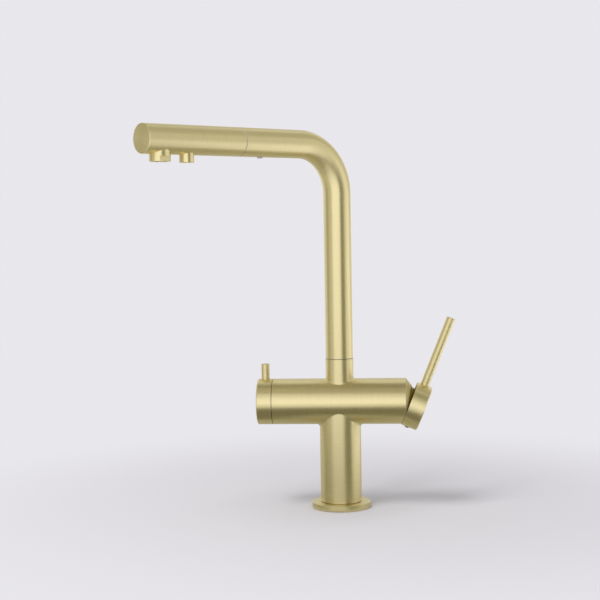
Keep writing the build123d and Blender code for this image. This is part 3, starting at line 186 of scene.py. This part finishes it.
def lit_cloth(name, brightness):
    """The dimmer a cloth, the warmer. Reflections find it, so it isn't sampled as a lamp."""
    material = bpy.data.materials.new(name)
    material.use_nodes = True
    material.cycles.emission_sampling = "NONE"
    tree = material.node_tree
    tree.nodes.clear()
    pale = min(max(brightness, dimmest), brightest)
    colour = (brightness, brightness * (warm_green + pale_green * pale),
              brightness * (warm_blue + pale_blue * pale), 1)
    shine = add(tree, "Emission", Color=colour, Strength=1.0).outputs[0]
    add(tree, "OutputMaterial", Surface=shine)
    return material


def hang(name, spans, corner_at, panes, brightness):
    """A lit sheet over its spans of bearing and of height or distance, seen by the shine alone."""
    bearing_from, bearing_to, reach_from, reach_to = spans
    mesh = bpy.data.meshes.new(name)
    sheet = bmesh.new()
    bmesh.ops.create_grid(sheet, x_segments=panes[0], y_segments=panes[1], size=0.5)
    for corner in sheet.verts:
        bearing = bearing_from + (corner.co.x + 0.5) * (bearing_to - bearing_from)
        reach = reach_from + (corner.co.y + 0.5) * (reach_to - reach_from)
        corner.co = corner_at(math.radians(bearing), reach)
    sheet.to_mesh(mesh)
    sheet.free()
    mesh.materials.append(lit_cloth(name, brightness))
    cloth = bpy.data.objects.new(name, mesh)
    bpy.context.scene.collection.objects.link(cloth)
    for ray in ("camera", "diffuse", "transmission", "volume_scatter", "shadow"):
        setattr(cloth, "visible_" + ray, False)


def cloth_corner(bearing, degrees_up):
    height = math.radians(degrees_up)
    return cloth_centre + cloth_away * Vector((
        math.sin(bearing) * math.cos(height), -math.cos(bearing) * math.cos(height),
        math.sin(height)))


def mat_corner(bearing, reach):
    return reach * math.sin(bearing), -reach * math.cos(bearing), mat_height


for name, (*spans, brightness) in cloths.items():
    hang(name + "_cloth", spans, cloth_corner, cloth_panes, brightness)
for name, (*spans, brightness) in mats.items():
    hang(name, spans, mat_corner, mat_panes, brightness)

# ---------------------------------------------------------------- camera
# Stands at the user's side, a little right of the column and below the arm, and looks slightly left
# and down. Its place, angle and focal length were fitted to the tap's edges.
focal_pixels, frame_pixels = 1322.34, 600
camera_place = (0.0863, -1.347, 0.2828)
yaw, pitch, roll = -0.0931, -0.0514, -0.0167
camera_data = bpy.data.cameras.new("camera")
camera_data.sensor_width = 36.0
camera_data.lens = focal_pixels / frame_pixels * camera_data.sensor_width
camera = bpy.data.objects.new("camera", camera_data)
ahead = Vector((math.sin(yaw) * math.cos(pitch), math.cos(yaw) * math.cos(pitch), math.sin(pitch)))
level = Vector((math.cos(yaw), -math.sin(yaw), 0))
upright = level.cross(ahead)
right = level * math.cos(roll) + upright * math.sin(roll)
above = upright * math.cos(roll) - level * math.sin(roll)
camera.matrix_world = Matrix.Translation(camera_place) @ Matrix(
    (right, above, -ahead)).transposed().to_4x4()
bpy.context.scene.collection.objects.link(camera)
bpy.context.scene.camera = camera

bpy.context.scene.view_settings.view_transform = "Standard"

# ---------------------------------------------------------------- flange and its seal
# Round plate that covers the deck hole, turned from brass, brushed round its own axis with a fine
# belt and coated satin, like every piece that shows. A flat rubber ring under it seals the deck.
up = (0.0, 0.0, 1.0)
column_foot = (0.0, 0.0, 0.0)
brass_light, brass_shade = (0.81, 0.71, 0.385, 1.0), (0.745, 0.645, 0.335, 1.0)
satin_dull = (0.33, 0.41)
fine_lines, broad_lines = 2600.0, 480.0      # brush marks to the metre
fine_turn, broad_turn = 3.0, 1.8             # how soon a mark dies out round the piece
fine_detail, broad_detail = 2.0, 3.0
mark_dark, mark_bright = 0.32, 0.68          # the marks' range that the colours are spread over
mark_depth, mark_strength = 0.000012, 0.35
grain_rough = 0.6                            # how much of a grain's finest specks shows
cloud_rate, cloud_share = 0.08, 0.4          # a skin's clouds beside its specks
skin_dark, skin_bright, skin_strength = 0.3, 0.7, 0.5


def number(tree, operation, *values):
    """Sums with numbers."""
    sockets = {f"_{i}": value for i, value in enumerate(values)}
    return add(tree, "Math", {"operation": operation}, **sockets).outputs[0]


def mix(tree, kind, share, one, other):
    """One where share is 0, the other where it is 1. The kind is FLOAT, VECTOR or RGBA."""
    first, second, out = {"FLOAT": (2, 3, 0), "VECTOR": (4, 5, 1), "RGBA": (6, 7, 2)}[kind]
    ends = {"_0": share, f"_{first}": one, f"_{second}": other}
    return add(tree, "Mix", {"data_type": kind}, **ends).outputs[out]


def spread(tree, value, **ends):
    """A number stretched from its own range to another."""
    return add(tree, "MapRange", Value=value, **ends).outputs["Result"]


def to_world(tree, direction):
    """A direction on the piece, turned with it."""
    return add(tree, "VectorTransform", {"vector_type": "VECTOR", "convert_from": "OBJECT",
                                         "convert_to": "WORLD"}, Vector=direction).outputs[0]


def lathe_group():
    """Where a point lies on a turned piece: which way round it, how far along its profile, and
    which way its shine is drawn out."""
    group = bpy.data.node_groups.new("lathe", "ShaderNodeTree")
    for name in ("Centre", "Axis"):
        group.interface.new_socket(name, in_out="INPUT", socket_type="NodeSocketVector")
    for name, kind in (("Around", "Vector"), ("Place", "Float"), ("Drawn", "Vector")):
        group.interface.new_socket(name, in_out="OUTPUT", socket_type="NodeSocket" + kind)
    centre, axis = group.nodes.new("NodeGroupInput").outputs[:2]
    here = vector(group, "SUBTRACT", _0=on_piece(group), _1=centre)
    along = vector(group, "DOT_PRODUCT", "Value", _0=here, _1=axis)
    off = vector(group, "SUBTRACT", _0=here, _1=vector(group, "SCALE", _0=axis, Scale=along))
    around = vector(group, "NORMALIZE", _0=off)
    ring = to_world(group, vector(group, "CROSS_PRODUCT", _0=axis, _1=around))
    facing = add(group, "NewGeometry").outputs["Normal"]
    drawn = vector(group, "NORMALIZE", _0=vector(group, "CROSS_PRODUCT", _0=ring, _1=facing))
    place = number(group, "ADD", along, vector(group, "LENGTH", "Value", _0=off))
    fill(group, group.nodes.new("NodeGroupOutput"), Around=around, Place=place, Drawn=drawn)
    return group


lathe = lathe_group()


def lathe_marks(tree, centre, axis):
    """Around, Place and Drawn for a piece turned about an axis through the centre."""
    return add(tree, "Group", {"node_tree": lathe}, Centre=centre, Axis=axis).outputs


def brush(tree, shader, around, place, drawn, light=brass_light, shade=brass_shade, dull=satin_dull,
          depth=mark_depth, broad_share=0.6, stretch=0.7):
    """Marks that run round a piece, a thread's width apart, in its colour, dullness and relief."""
    def marks(lines, turn, detail):
        step = number(tree, "MULTIPLY", place, lines)
        spot = vector(tree, "SCALE", _0=around, Scale=turn)
        return add(tree, "TexNoise", {"noise_dimensions": "4D"}, Vector=spot, W=step, Scale=1.0,
                   Detail=detail, Roughness=grain_rough).outputs["Fac"]

    both = mix(tree, "FLOAT", broad_share, marks(fine_lines, fine_turn, fine_detail),
               marks(broad_lines, broad_turn, broad_detail))
    worn = spread(tree, both, From_Min=mark_dark, From_Max=mark_bright)
    relief = add(tree, "Bump", Strength=mark_strength, Distance=depth, Height=both)
    fill(tree, shader, Metallic=1.0, Anisotropic=stretch, Tangent=drawn,
         Base_Color=mix(tree, "RGBA", worn, shade, light),
         Roughness=spread(tree, worn, To_Min=dull[0], To_Max=dull[1]),
         Normal=relief.outputs["Normal"])


def turned(name, centre, axis, **finish):
    """Metal turned and brushed about an axis through the centre, satin brass by default."""
    material, tree, shader = new_finish(name)
    marks = lathe_marks(tree, centre, axis)
    brush(tree, shader, marks["Around"], marks["Place"], marks["Drawn"], **finish)
    return material


def moulded(name, light, shade, grain, dull, relief):
    """Rubber, plastic or ceramic: an even skin with a fine grain, given in specks to the metre."""
    material, tree, shader = new_finish(name)
    here = on_piece(tree)
    specks = add(tree, "TexNoise", Vector=here, Scale=grain, Detail=3.0,
                 Roughness=grain_rough).outputs["Fac"]
    clouds = add(tree, "TexNoise", Vector=here, Scale=grain * cloud_rate, Detail=2.0).outputs["Fac"]
    worn = spread(tree, mix(tree, "FLOAT", cloud_share, specks, clouds),
                  From_Min=skin_dark, From_Max=skin_bright)
    pits = add(tree, "Bump", Strength=skin_strength, Distance=relief, Height=specks)
    fill(tree, shader, Base_Color=mix(tree, "RGBA", worn, shade, light),
         Roughness=spread(tree, worn, To_Min=dull[0], To_Max=dull[1]),
         Normal=pits.outputs["Normal"])
    return material


def dress(material, *names):
    """CAD pieces that keep their shape get their finish."""
    for name in names:
        for spot in nodes[name].material_slots:
            spot.material = material


seal_rubber = moulded("seal_rubber", light=(0.036, 0.035, 0.034, 1), shade=(0.018, 0.018, 0.018, 1),
                      grain=1400.0, dull=(0.58, 0.74), relief=0.00003)
dress(turned("flange_brass", column_foot, up), "base_flange")
dress(seal_rubber, "deck_seal")

# ---------------------------------------------------------------- threaded shank
# Tube of plain machined brass, M32 by 1.5, screwed up into the column. Its thread takes the clamp
# nut, and its collar centres the tap in the deck hole.
shank_radius, shank_bore, shank_pitch = 0.0160, 0.0146, 0.0015
shank_foot, collar_foot, collar_radius, collar_top, shank_top = -0.055, -0.005, 0.0172, 0.0, 0.0178
shank_columns = 72
thread_depth = 0.6134                        # of the pitch
# one turn: share of the pitch along the thread, and of its depth cut away
thread_profile = ((0.0, 1), (0.25, 1), (0.5625, 0), (0.6875, 0))
raw = {"light": (0.72, 0.57, 0.30, 1.0), "shade": (0.60, 0.46, 0.22, 1.0), "dull": (0.24, 0.34)}


def cut_thread(shape, radius, pitch, low, high, columns):
    """A sharp thread from low to high, round Z: its open rings of edges (bottom, top)."""
    turns = math.ceil((high - low) / pitch) + 2
    rows = []
    for i in range(turns * columns + 1):
        angle, rise = math.tau * i / columns, low - pitch + pitch * i / columns
        row = []
        for share, cut in thread_profile:
            reach = radius - cut * thread_depth * pitch
            row.append(shape.verts.new((reach * math.cos(angle), reach * math.sin(angle),
                                        rise + share * pitch)))
        rows.append(row)
    for i in range(turns * columns):
        for (a, b), (c, d) in zip(zip(rows[i], rows[i][1:]), zip(rows[i + 1], rows[i + 1][1:])):
            shape.faces.new((a, c, d, b))
        if i + columns + 1 < len(rows):
            shape.faces.new((rows[i][-1], rows[i + 1][-1],
                             rows[i + columns + 1][0], rows[i + columns][0]))
    rings = []
    for height, side in ((low, -1), (high, 1)):
        whole = shape.verts[:] + shape.edges[:] + shape.faces[:]
        end = bmesh.ops.bisect_plane(shape, geom=whole, dist=1e-7, plane_co=(0, 0, height),
                                     plane_no=(0, 0, side), clear_outer=True)["geom_cut"]
        rings.append([edge for edge in end if isinstance(edge, bmesh.types.BMEdge)])
    return rings


def ring_at(shape, radius, height, columns):
    """A ring of edges round Z."""
    angles = [math.tau * i / columns for i in range(columns)]
    corners = [shape.verts.new((radius * math.cos(angle), radius * math.sin(angle), height))
               for angle in angles]
    return [shape.edges.new((corners[i - 1], corners[i])) for i in range(columns)]


def skin(shape, rings):
    """Faces from each ring of edges to the next."""
    for one, other in zip(rings, rings[1:]):
        bmesh.ops.bridge_loops(shape, edges=one + other)


def as_piece(name, shape, material, stands_for, body, sharp=35.0):
    """The finished mesh in the scene, in place of its CAD piece."""
    bmesh.ops.recalc_face_normals(shape, faces=shape.faces)
    mesh = bpy.data.meshes.new(name)
    shape.to_mesh(mesh)
    shape.free()
    mesh.shade_smooth()
    mesh.set_sharp_from_angle(angle=math.radians(sharp))
    mesh.materials.append(material)
    piece = bpy.data.objects.new(name, mesh)
    bpy.context.scene.collection.objects.link(piece)
    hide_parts(stands_for)
    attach(piece, body)


machined_brass = turned("machined_brass", column_foot, up, **raw)
shape = bmesh.new()
thread_foot, thread_top = cut_thread(shape, shank_radius, shank_pitch, shank_foot, collar_foot,
                                     shank_columns)
rims = [ring_at(shape, radius, height, shank_columns) for radius, height in (
    (collar_radius, collar_foot), (collar_radius, collar_top), (shank_radius, collar_top),
    (shank_radius, shank_top), (shank_bore, shank_top), (shank_bore, shank_foot))]
skin(shape, [thread_top] + rims + [thread_foot])
as_piece("shank_threaded", shape, machined_brass, stands_for="threaded_shank", body="tap")

# ---------------------------------------------------------------- clamp set under the deck
# A rubber washer and a pressed steel one, a slotted brass nut, and three steel screws through it
# that jack the washers up against the deck's underside.
jack_radius, jack_pitch, jack_circle = 0.0029, 0.0010, 0.0214
jack_top, jack_head_top, jack_head_foot, jack_head_flats = -0.030, -0.046, -0.050, 0.008
jack_count, jack_columns, jack_head_sides = 3, 24, 6
first_jack = 60                              # its bearing in degrees from the lever's side
jack_point = 0.70                            # the blunt point's share of the screw's radius
bevel_height, bevel_share = 0.0004, 0.94     # of the head's corners
zinc = {"light": (0.66, 0.66, 0.65, 1), "shade": (0.52, 0.52, 0.51, 1), "dull": (0.26, 0.38)}
dress(moulded("washer_rubber", light=(0.040, 0.039, 0.038, 1), shade=(0.020, 0.020, 0.020, 1),
              grain=900.0, dull=(0.60, 0.78), relief=0.00004), "clamp_rubber_washer")
dress(turned("washer_steel", column_foot, up, **zinc), "clamp_steel_washer")
dress(machined_brass, "clamp_nut")
across_corners = jack_head_flats / 2 / math.cos(math.pi / jack_head_sides)
jacks = bmesh.new()
for k in range(jack_count):
    screw = bmesh.new()
    foot, top = cut_thread(screw, jack_radius, jack_pitch, jack_head_top, jack_top, jack_columns)
    point = ring_at(screw, jack_radius * jack_point, jack_top, jack_columns)
    skin(screw, [top, point])
    bmesh.ops.edgeloop_fill(screw, edges=point)
    head = [ring_at(screw, radius, height, jack_head_sides) for radius, height in (
        (across_corners * bevel_share, jack_head_top),
        (across_corners, jack_head_top - bevel_height),
        (across_corners, jack_head_foot + bevel_height),
        (across_corners * bevel_share, jack_head_foot))]
    skin(screw, [foot] + head)
    bmesh.ops.edgeloop_fill(screw, edges=head[-1])
    bearing = math.radians(first_jack + 360 / jack_count * k)
    bmesh.ops.translate(screw, verts=screw.verts, vec=(
        jack_circle * math.cos(bearing), jack_circle * math.sin(bearing), 0))
    one_screw = bpy.data.meshes.new("jack_screw")
    screw.to_mesh(one_screw)
    screw.free()
    jacks.from_mesh(one_screw)
    bpy.data.meshes.remove(one_screw)
as_piece("jack_screws_threaded", jacks, turned("jack_steel", column_foot, up, **zinc),
         stands_for="jack_screws", body="deck_clamp")

# ---------------------------------------------------------------- body
# One brass casting: the column, the barrel across it and the neck on top, machined inside for the
# two cartridges, then brushed round each of its three tubes.
sideways = (1.0, 0.0, 0.0)
barrel_middle, barrel_radius = (0.0, 0.0, 0.1089), 0.02335
barrel_slack = 0.0001                        # counts the barrel's own faces in


def body_brass():
    """The barrel is brushed round its own axis, the rest round the column's."""
    material, tree, shader = new_finish("body_brass")
    column = lathe_marks(tree, column_foot, up)
    barrel = lathe_marks(tree, barrel_middle, sideways)
    slice_at = vector(tree, "MULTIPLY", _0=on_piece(tree), _1=(0, 1, 1))
    reach = vector(tree, "DISTANCE", "Value", _0=slice_at, _1=barrel_middle)
    on_barrel = number(tree, "LESS_THAN", reach, barrel_radius + barrel_slack)
    around, place, drawn = (
        mix(tree, kind, on_barrel, column[name], barrel[name])
        for name, kind in (("Around", "VECTOR"), ("Place", "FLOAT"), ("Drawn", "VECTOR")))
    brush(tree, shader, around, place, drawn)
    return material


dress(body_brass(), "tap_body")

# ---------------------------------------------------------------- mixing cartridge
# A single-lever ceramic cartridge in the barrel's right end: glass-filled plastic base, housing and
# rotor, two alumina discs, rubber face seals, and a plain brass ring nut that holds it down.
pivot = Vector((0.065, 0.0, 0.1089))
alumina = moulded("alumina", light=(0.84, 0.82, 0.76, 1), shade=(0.76, 0.74, 0.68, 1),
                  grain=2200.0, dull=(0.22, 0.32), relief=0.000004)
dress(moulded("filled_plastic", light=(0.30, 0.31, 0.32, 1), shade=(0.22, 0.23, 0.24, 1),
              grain=1600.0, dull=(0.42, 0.55), relief=0.00001), "mixer_base", "mixer_housing")
dress(moulded("white_plastic", light=(0.74, 0.73, 0.69, 1), shade=(0.64, 0.63, 0.59, 1),
              grain=1200.0, dull=(0.38, 0.50), relief=0.00001), "mixer_rotor", "mixer_disc_carrier")
dress(alumina, "mixer_fixed_disc", "mixer_moving_disc")
dress(seal_rubber, "mixer_base_seals")
dress(turned("stem_steel", pivot, sideways, light=(0.62, 0.62, 0.61, 1),
             shade=(0.50, 0.50, 0.49, 1), dull=(0.24, 0.34)), "mixer_stem", "mixer_pivot_pin")
dress(turned("nut_brass", barrel_middle, sideways, **raw), "mixer_nut")

# ---------------------------------------------------------------- mixing lever
# A coned ring screwed into the barrel's mouth, a brushed disc on the cartridge's stem with a ball
# behind it that fills the ring, and a plain rod screwed into the disc's rim. A set screw under a
# dark plastic plug holds the disc on the stem.
tilt = math.radians(22.0)
lever_along = Vector((math.cos(tilt), 0.0, -math.sin(tilt)))
lever_up = Vector((math.sin(tilt), 0.0, math.cos(tilt)))
rod_from_pivot, plug_from_pivot = 0.0141, 0.0127
rod_foot = pivot + lever_along * rod_from_pivot
plug_foot = pivot + lever_along * plug_from_pivot
# rods are brushed finer than tubes
slim = {"light": (0.77, 0.67, 0.355, 1), "shade": (0.74, 0.64, 0.335, 1), "dull": (0.45, 0.48),
        "depth": 0.000003, "broad_share": 0.95, "stretch": 0.2}
edge_width = 0.0699                          # from the barrel's middle, square to the slant
edge_slant = (1.0, 0.0, -0.18)
edge_dull = (0.62, 0.70)
# painted shade: the slope past the ring's edge is coloured darker where the gap under the hub lies
# in shade
slope_painted_shade = ((0.50, 0.40, 0.13, 1.0), (0.42, 0.33, 0.10, 1.0))
ball_radius = 0.0169
# painted shade: the ball behind the disc is coloured darker because it lies in shade inside the
# ring
ball_painted_shade = ((0.40, 0.34, 0.07, 1.0), (0.32, 0.27, 0.055, 1.0))


def brass_with_painted_shade(tree, shader, marks, shade_mask, painted_shade_brass, outer_dull=satin_dull):
    """Satin brass, and where the mask is 1 a darker brass (its light and shade) that paints the
    shade falling there.
    """
    light, shade = (mix(tree, "RGBA", shade_mask, satin, shaded)
                    for satin, shaded in zip((brass_light, brass_shade), painted_shade_brass))
    dull = [mix(tree, "FLOAT", shade_mask, satin, shaded) for satin, shaded in zip(outer_dull, satin_dull)]
    brush(tree, shader, marks["Around"], marks["Place"], marks["Drawn"], light=light, shade=shade,
          dull=dull)


def ring_brass():
    """The ring's outer edge is blasted dull; the slope past it is painted darker, as painted shade
    from the hub that overhangs it.
    """
    material, tree, shader = new_finish("ring_brass")
    marks = lathe_marks(tree, barrel_middle, sideways)
    here = vector(tree, "SUBTRACT", _0=on_piece(tree), _1=barrel_middle)
    along = vector(tree, "DOT_PRODUCT", "Value", _0=here, _1=edge_slant)
    past = number(tree, "GREATER_THAN", along, edge_width)
    brass_with_painted_shade(tree, shader, marks, past, slope_painted_shade, edge_dull)
    return material


def hub_brass():
    """The ball behind the disc is painted darker than the disc, as painted shade in the gap behind
    it.
    """
    material, tree, shader = new_finish("hub_brass")
    marks = lathe_marks(tree, pivot, lever_along)
    reach = vector(tree, "DISTANCE", "Value", _0=on_piece(tree), _1=pivot)
    ball = number(tree, "LESS_THAN", reach, ball_radius)
    brass_with_painted_shade(tree, shader, marks, ball, ball_painted_shade)
    return material


dress(ring_brass(), "mixer_shroud")
dress(hub_brass(), "lever_hub")
dress(turned("rod_brass", rod_foot, lever_up, **slim), "lever_rod")
dress(moulded("plug_plastic", light=(0.22, 0.18, 0.10, 1), shade=(0.16, 0.13, 0.07, 1),
              grain=1400.0, dull=(0.40, 0.52), relief=0.00001), "hub_plug")
dress(turned("black_steel", plug_foot, lever_up, light=(0.15, 0.15, 0.15, 1),
             shade=(0.09, 0.09, 0.09, 1), dull=(0.36, 0.48)), "hub_set_screw")

# ---------------------------------------------------------------- filtered water valve
# A quarter-turn cartridge screwed into the barrel's left end: machined brass housing and spindle,
# a rubber face seal and rings, and two alumina discs.
dress(turned("valve_brass", barrel_middle, sideways, **raw), "valve_housing", "valve_spindle")
dress(alumina, "valve_fixed_disc", "valve_moving_disc")
dress(seal_rubber, "valve_seal", "spindle_rings")

# ---------------------------------------------------------------- filter knob
# A shallow brass cap pushed on the valve's spindle, with a short pin screwed into its rim, turning
# round a plastic guide ring that leaves a fine dark line against the barrel.
pin_foot = (-0.0763, 0.0, 0.1089)
dress(turned("knob_brass", barrel_middle, sideways), "filter_knob")
dress(turned("pin_brass", pin_foot, up, **slim), "knob_pin")
dress(moulded("guide_plastic", light=(0.105, 0.088, 0.045, 1), shade=(0.070, 0.058, 0.030, 1),
              grain=1200.0, dull=(0.46, 0.58), relief=0.00001), "knob_guide_ring")

# ---------------------------------------------------------------- swivel
# The spout stands on a brass bush that turns in the neck on two rubber rings. A dark plastic slip
# ring shows as the line between neck and spout, and a grub screw at the back keeps the bush in.
grub_screw_place, backwards = (0.0, 0.0, 0.1415), (0.0, 1.0, 0.0)
dress(machined_brass, "swivel_bush")
dress(seal_rubber, "swivel_rings")
dress(moulded("slip_plastic", light=(0.140, 0.118, 0.068, 1), shade=(0.095, 0.080, 0.045, 1),
              grain=1200.0, dull=(0.42, 0.56), relief=0.00001), "slip_ring")
dress(turned("grub_steel", grub_screw_place, backwards, light=(0.20, 0.19, 0.18, 1),
             shade=(0.13, 0.125, 0.12, 1), dull=(0.32, 0.44)), "swivel_stop_screw")

# ---------------------------------------------------------------- spout
# Brass tube, bent once and brushed round all along riser, bend and arm. The arm points forwards to
# the left, half way between the user and the filter knob.
arm_height, bend_radius = 0.36965, 0.049
arm_turn = math.radians(45)                  # from the knob's side towards the user
arm = Vector((-math.cos(arm_turn), -math.sin(arm_turn), 0.0))
arm_side = arm.cross(Vector(up))


def spout_brass():
    """Marks that follow the tube's middle line up the riser, round the bend and along the arm."""
    material, tree, shader = new_finish("spout_brass")
    here = on_piece(tree)
    out = vector(tree, "DOT_PRODUCT", "Value", _0=here, _1=arm)
    across = vector(tree, "DOT_PRODUCT", "Value", _0=here, _1=arm_side)
    rise = vector(tree, "DOT_PRODUCT", "Value", _0=here, _1=up)
    level = number(tree, "SUBTRACT", rise, arm_height)
    # from the bend's centre, inwards runs to the riser and high to the arm
    inwards = number(tree, "SUBTRACT", bend_radius, out)
    high = number(tree, "ADD", level, bend_radius)
    turn = number(tree, "ARCTAN2", number(tree, "MAXIMUM", high, 0.0),
                  number(tree, "MAXIMUM", inwards, 0.0))
    past_bend = number(tree, "MAXIMUM", number(tree, "SUBTRACT", out, bend_radius), 0.0)
    before_bend = number(tree, "MINIMUM", high, 0.0)
    along = number(tree, "ADD", number(tree, "MULTIPLY_ADD", turn, bend_radius, past_bend),
                   before_bend)
    sine, cosine = number(tree, "SINE", turn), number(tree, "COSINE", turn)
    run = vector(tree, "ADD", _0=vector(tree, "SCALE", _0=arm, Scale=sine),
                 _1=vector(tree, "SCALE", _0=up, Scale=cosine))
    reach = number(tree, "ADD", number(tree, "MULTIPLY", cosine, inwards),
                   number(tree, "MULTIPLY", sine, high))
    off = number(tree, "SUBTRACT", reach, bend_radius)
    around = vector(tree, "NORMALIZE", _0=add(tree, "CombineXYZ", X=across, Y=off).outputs[0])
    brush(tree, shader, around, along, to_world(tree, run))
    return material


dress(spout_brass(), "spout_tube")

# ---------------------------------------------------------------- docking sleeve
# Plastic sleeve pressed into the arm's mouth, in which the head parks. Its rim shows as a thin
# grey-brown line, and a small socket screw under the arm holds it.
arm_centre = Vector((0.0, 0.0, arm_height))
dock_screw_out = 0.0986                      # along the arm, from the riser's middle
dock_screw_place = arm_centre + arm * dock_screw_out
dress(moulded("sleeve_plastic", light=(0.46, 0.42, 0.35, 1), shade=(0.38, 0.35, 0.29, 1),
              grain=1200.0, dull=(0.42, 0.55), relief=0.00001), "docking_sleeve")
dress(turned("dock_screw_steel", dock_screw_place, up, light=(0.52, 0.51, 0.50, 1),
             shade=(0.40, 0.39, 0.38, 1), dull=(0.34, 0.46)), "docking_screw")

# ---------------------------------------------------------------- pull-out hose
# Braided nylon hose with the filtered water's own white tube inside it. Its front stretch comes out
# with the head and is woven in bands; the rear one lies in the riser and the bend.
hose_radius, hose_bore, hose_from, hose_to = 0.0060, 0.0043, 0.0510, 0.1187
liner_radius, liner_columns = 0.00555, 48
carriers, weave_turn = 16, 0.0364            # bands each way, and how far one runs in a turn
band_width, band_angle = 0.00128, math.radians(45)
weave_lift, band_clear = 0.00014, 0.00002    # over and under, and inside the hose's own size
band_edge = 0.00012                          # how far a band's two edges lie below its middle
band_profile = ((-1.0, band_edge), (-0.4, 0.0), (0.4, 0.0), (1.0, band_edge))
steps_to_crossing = 4
braid_light, braid_shade = (0.46, 0.46, 0.47, 1.0), (0.30, 0.30, 0.31, 1.0)
yarn_fibres, yarn_rough = 2600.0, 0.7        # fibres to the metre
fibre_dark, fibre_bright, braid_dull = 0.3, 0.7, (0.42, 0.60)
fibre_depth, fibre_strength = 0.00003, 0.6
weave_pitch, weave_share = 0.0023, 0.18


def braid_finish(name, centre, axis, weave):
    """Grey yarn, with its threads along the bands, or woven crosswise where weave is set."""
    material, tree, shader = new_finish(name)
    fibres = add(tree, "TexNoise", Vector=on_piece(tree), Scale=yarn_fibres, Detail=3.0,
                 Roughness=yarn_rough).outputs["Fac"]
    if weave:
        place = lathe_marks(tree, centre, axis)["Place"]
        rows = number(tree, "SINE", number(tree, "MULTIPLY", place, math.tau / weave_pitch))
        fibres = number(tree, "MULTIPLY_ADD", rows, weave_share, fibres)
    relief = add(tree, "Bump", Strength=fibre_strength, Distance=fibre_depth, Height=fibres)
    fill(tree, shader, Base_Color=mix(tree, "RGBA", fibres, braid_shade, braid_light),
         Roughness=spread(tree, fibres, From_Min=fibre_dark, From_Max=fibre_bright,
                          To_Min=braid_dull[0], To_Max=braid_dull[1]),
         Normal=relief.outputs["Normal"])
    return material


shape = bmesh.new()
rims = [ring_at(shape, radius, height, liner_columns) for radius, height in (
    (hose_bore, hose_from), (liner_radius, hose_from), (liner_radius, hose_to),
    (hose_bore, hose_to))]
skin(shape, rims + rims[:1])
# each band winds round the liner, over and under those of the other hand
crossing = weave_turn / carriers / 2
steps = int((hose_to - hose_from) / crossing * steps_to_crossing)
half = band_width / 2 / math.cos(band_angle) / hose_radius
for hand in (-1, 1):
    for k in range(carriers):
        before = None
        for i in range(steps + 1):
            reach = (hose_to - hose_from) * i / steps
            middle = math.tau * (k / carriers + hand * reach / weave_turn)
            lift = weave_lift * hand * math.cos(math.pi * reach / crossing + math.pi * k)
            row = []
            for share, drop in band_profile:
                radius = hose_radius - band_clear - weave_lift - drop + lift
                angle = middle + share * half
                row.append(shape.verts.new((radius * math.cos(angle), radius * math.sin(angle),
                                            hose_from + reach)))
            if before:
                for a in range(len(row)):
                    shape.faces.new((before[a - 1], before[a], row[a], row[a - 1]))
            if i in (0, steps):
                shape.faces.new(row)
            before = row
along_arm = Vector(up).rotation_difference(arm).to_matrix().to_4x4()
bmesh.ops.transform(shape, matrix=Matrix.Translation(arm_centre) @ along_arm, verts=shape.verts)
as_piece("hose_braided", shape, braid_finish("braid_front", arm_centre, arm, weave=False),
         stands_for="hose_front", body="head", sharp=60.0)
dress(braid_finish("braid_rear", column_foot, up, weave=True), "hose_rear")
dress(moulded("tube_white", light=(0.84, 0.84, 0.81, 1), shade=(0.76, 0.76, 0.73, 1), grain=700.0,
              dull=(0.30, 0.42), relief=0.00001), "inner_tube_rear", "inner_tube_front")

# ---------------------------------------------------------------- pull-out head
# A brass tube with a flat cap let into its end, both brushed round the arm's axis. Inside, a dark
# plastic core leads the two waters from the hose's brass connector to the two outlets.
core_plastic = moulded("core_plastic", light=(0.070, 0.068, 0.064, 1),
                       shade=(0.045, 0.044, 0.042, 1), grain=1400.0, dull=(0.42, 0.56),
                       relief=0.00001)
dress(turned("head_brass", arm_centre, arm), "head_shell")
dress(turned("cap_brass", arm_centre, arm), "head_end_cap")
dress(turned("connector_brass", arm_centre, arm, **raw), "hose_connector")
dress(core_plastic, "head_core")

# ---------------------------------------------------------------- outlets
# The aerator's brass housing with its two spanner flats, and the filtered water's smaller nozzle
# beside it, both screwed up into the core on rubber seals. Dark plastic inserts shape the water.
aerator_out, nozzle_out = 0.2145, 0.1848
dress(turned("aerator_brass", arm_centre + arm * aerator_out, up), "aerator_housing")
dress(turned("nozzle_brass", arm_centre + arm * nozzle_out, up), "filter_nozzle")
dress(core_plastic, "aerator_insert", "nozzle_insert")
dress(seal_rubber, "aerator_seal", "nozzle_seal")
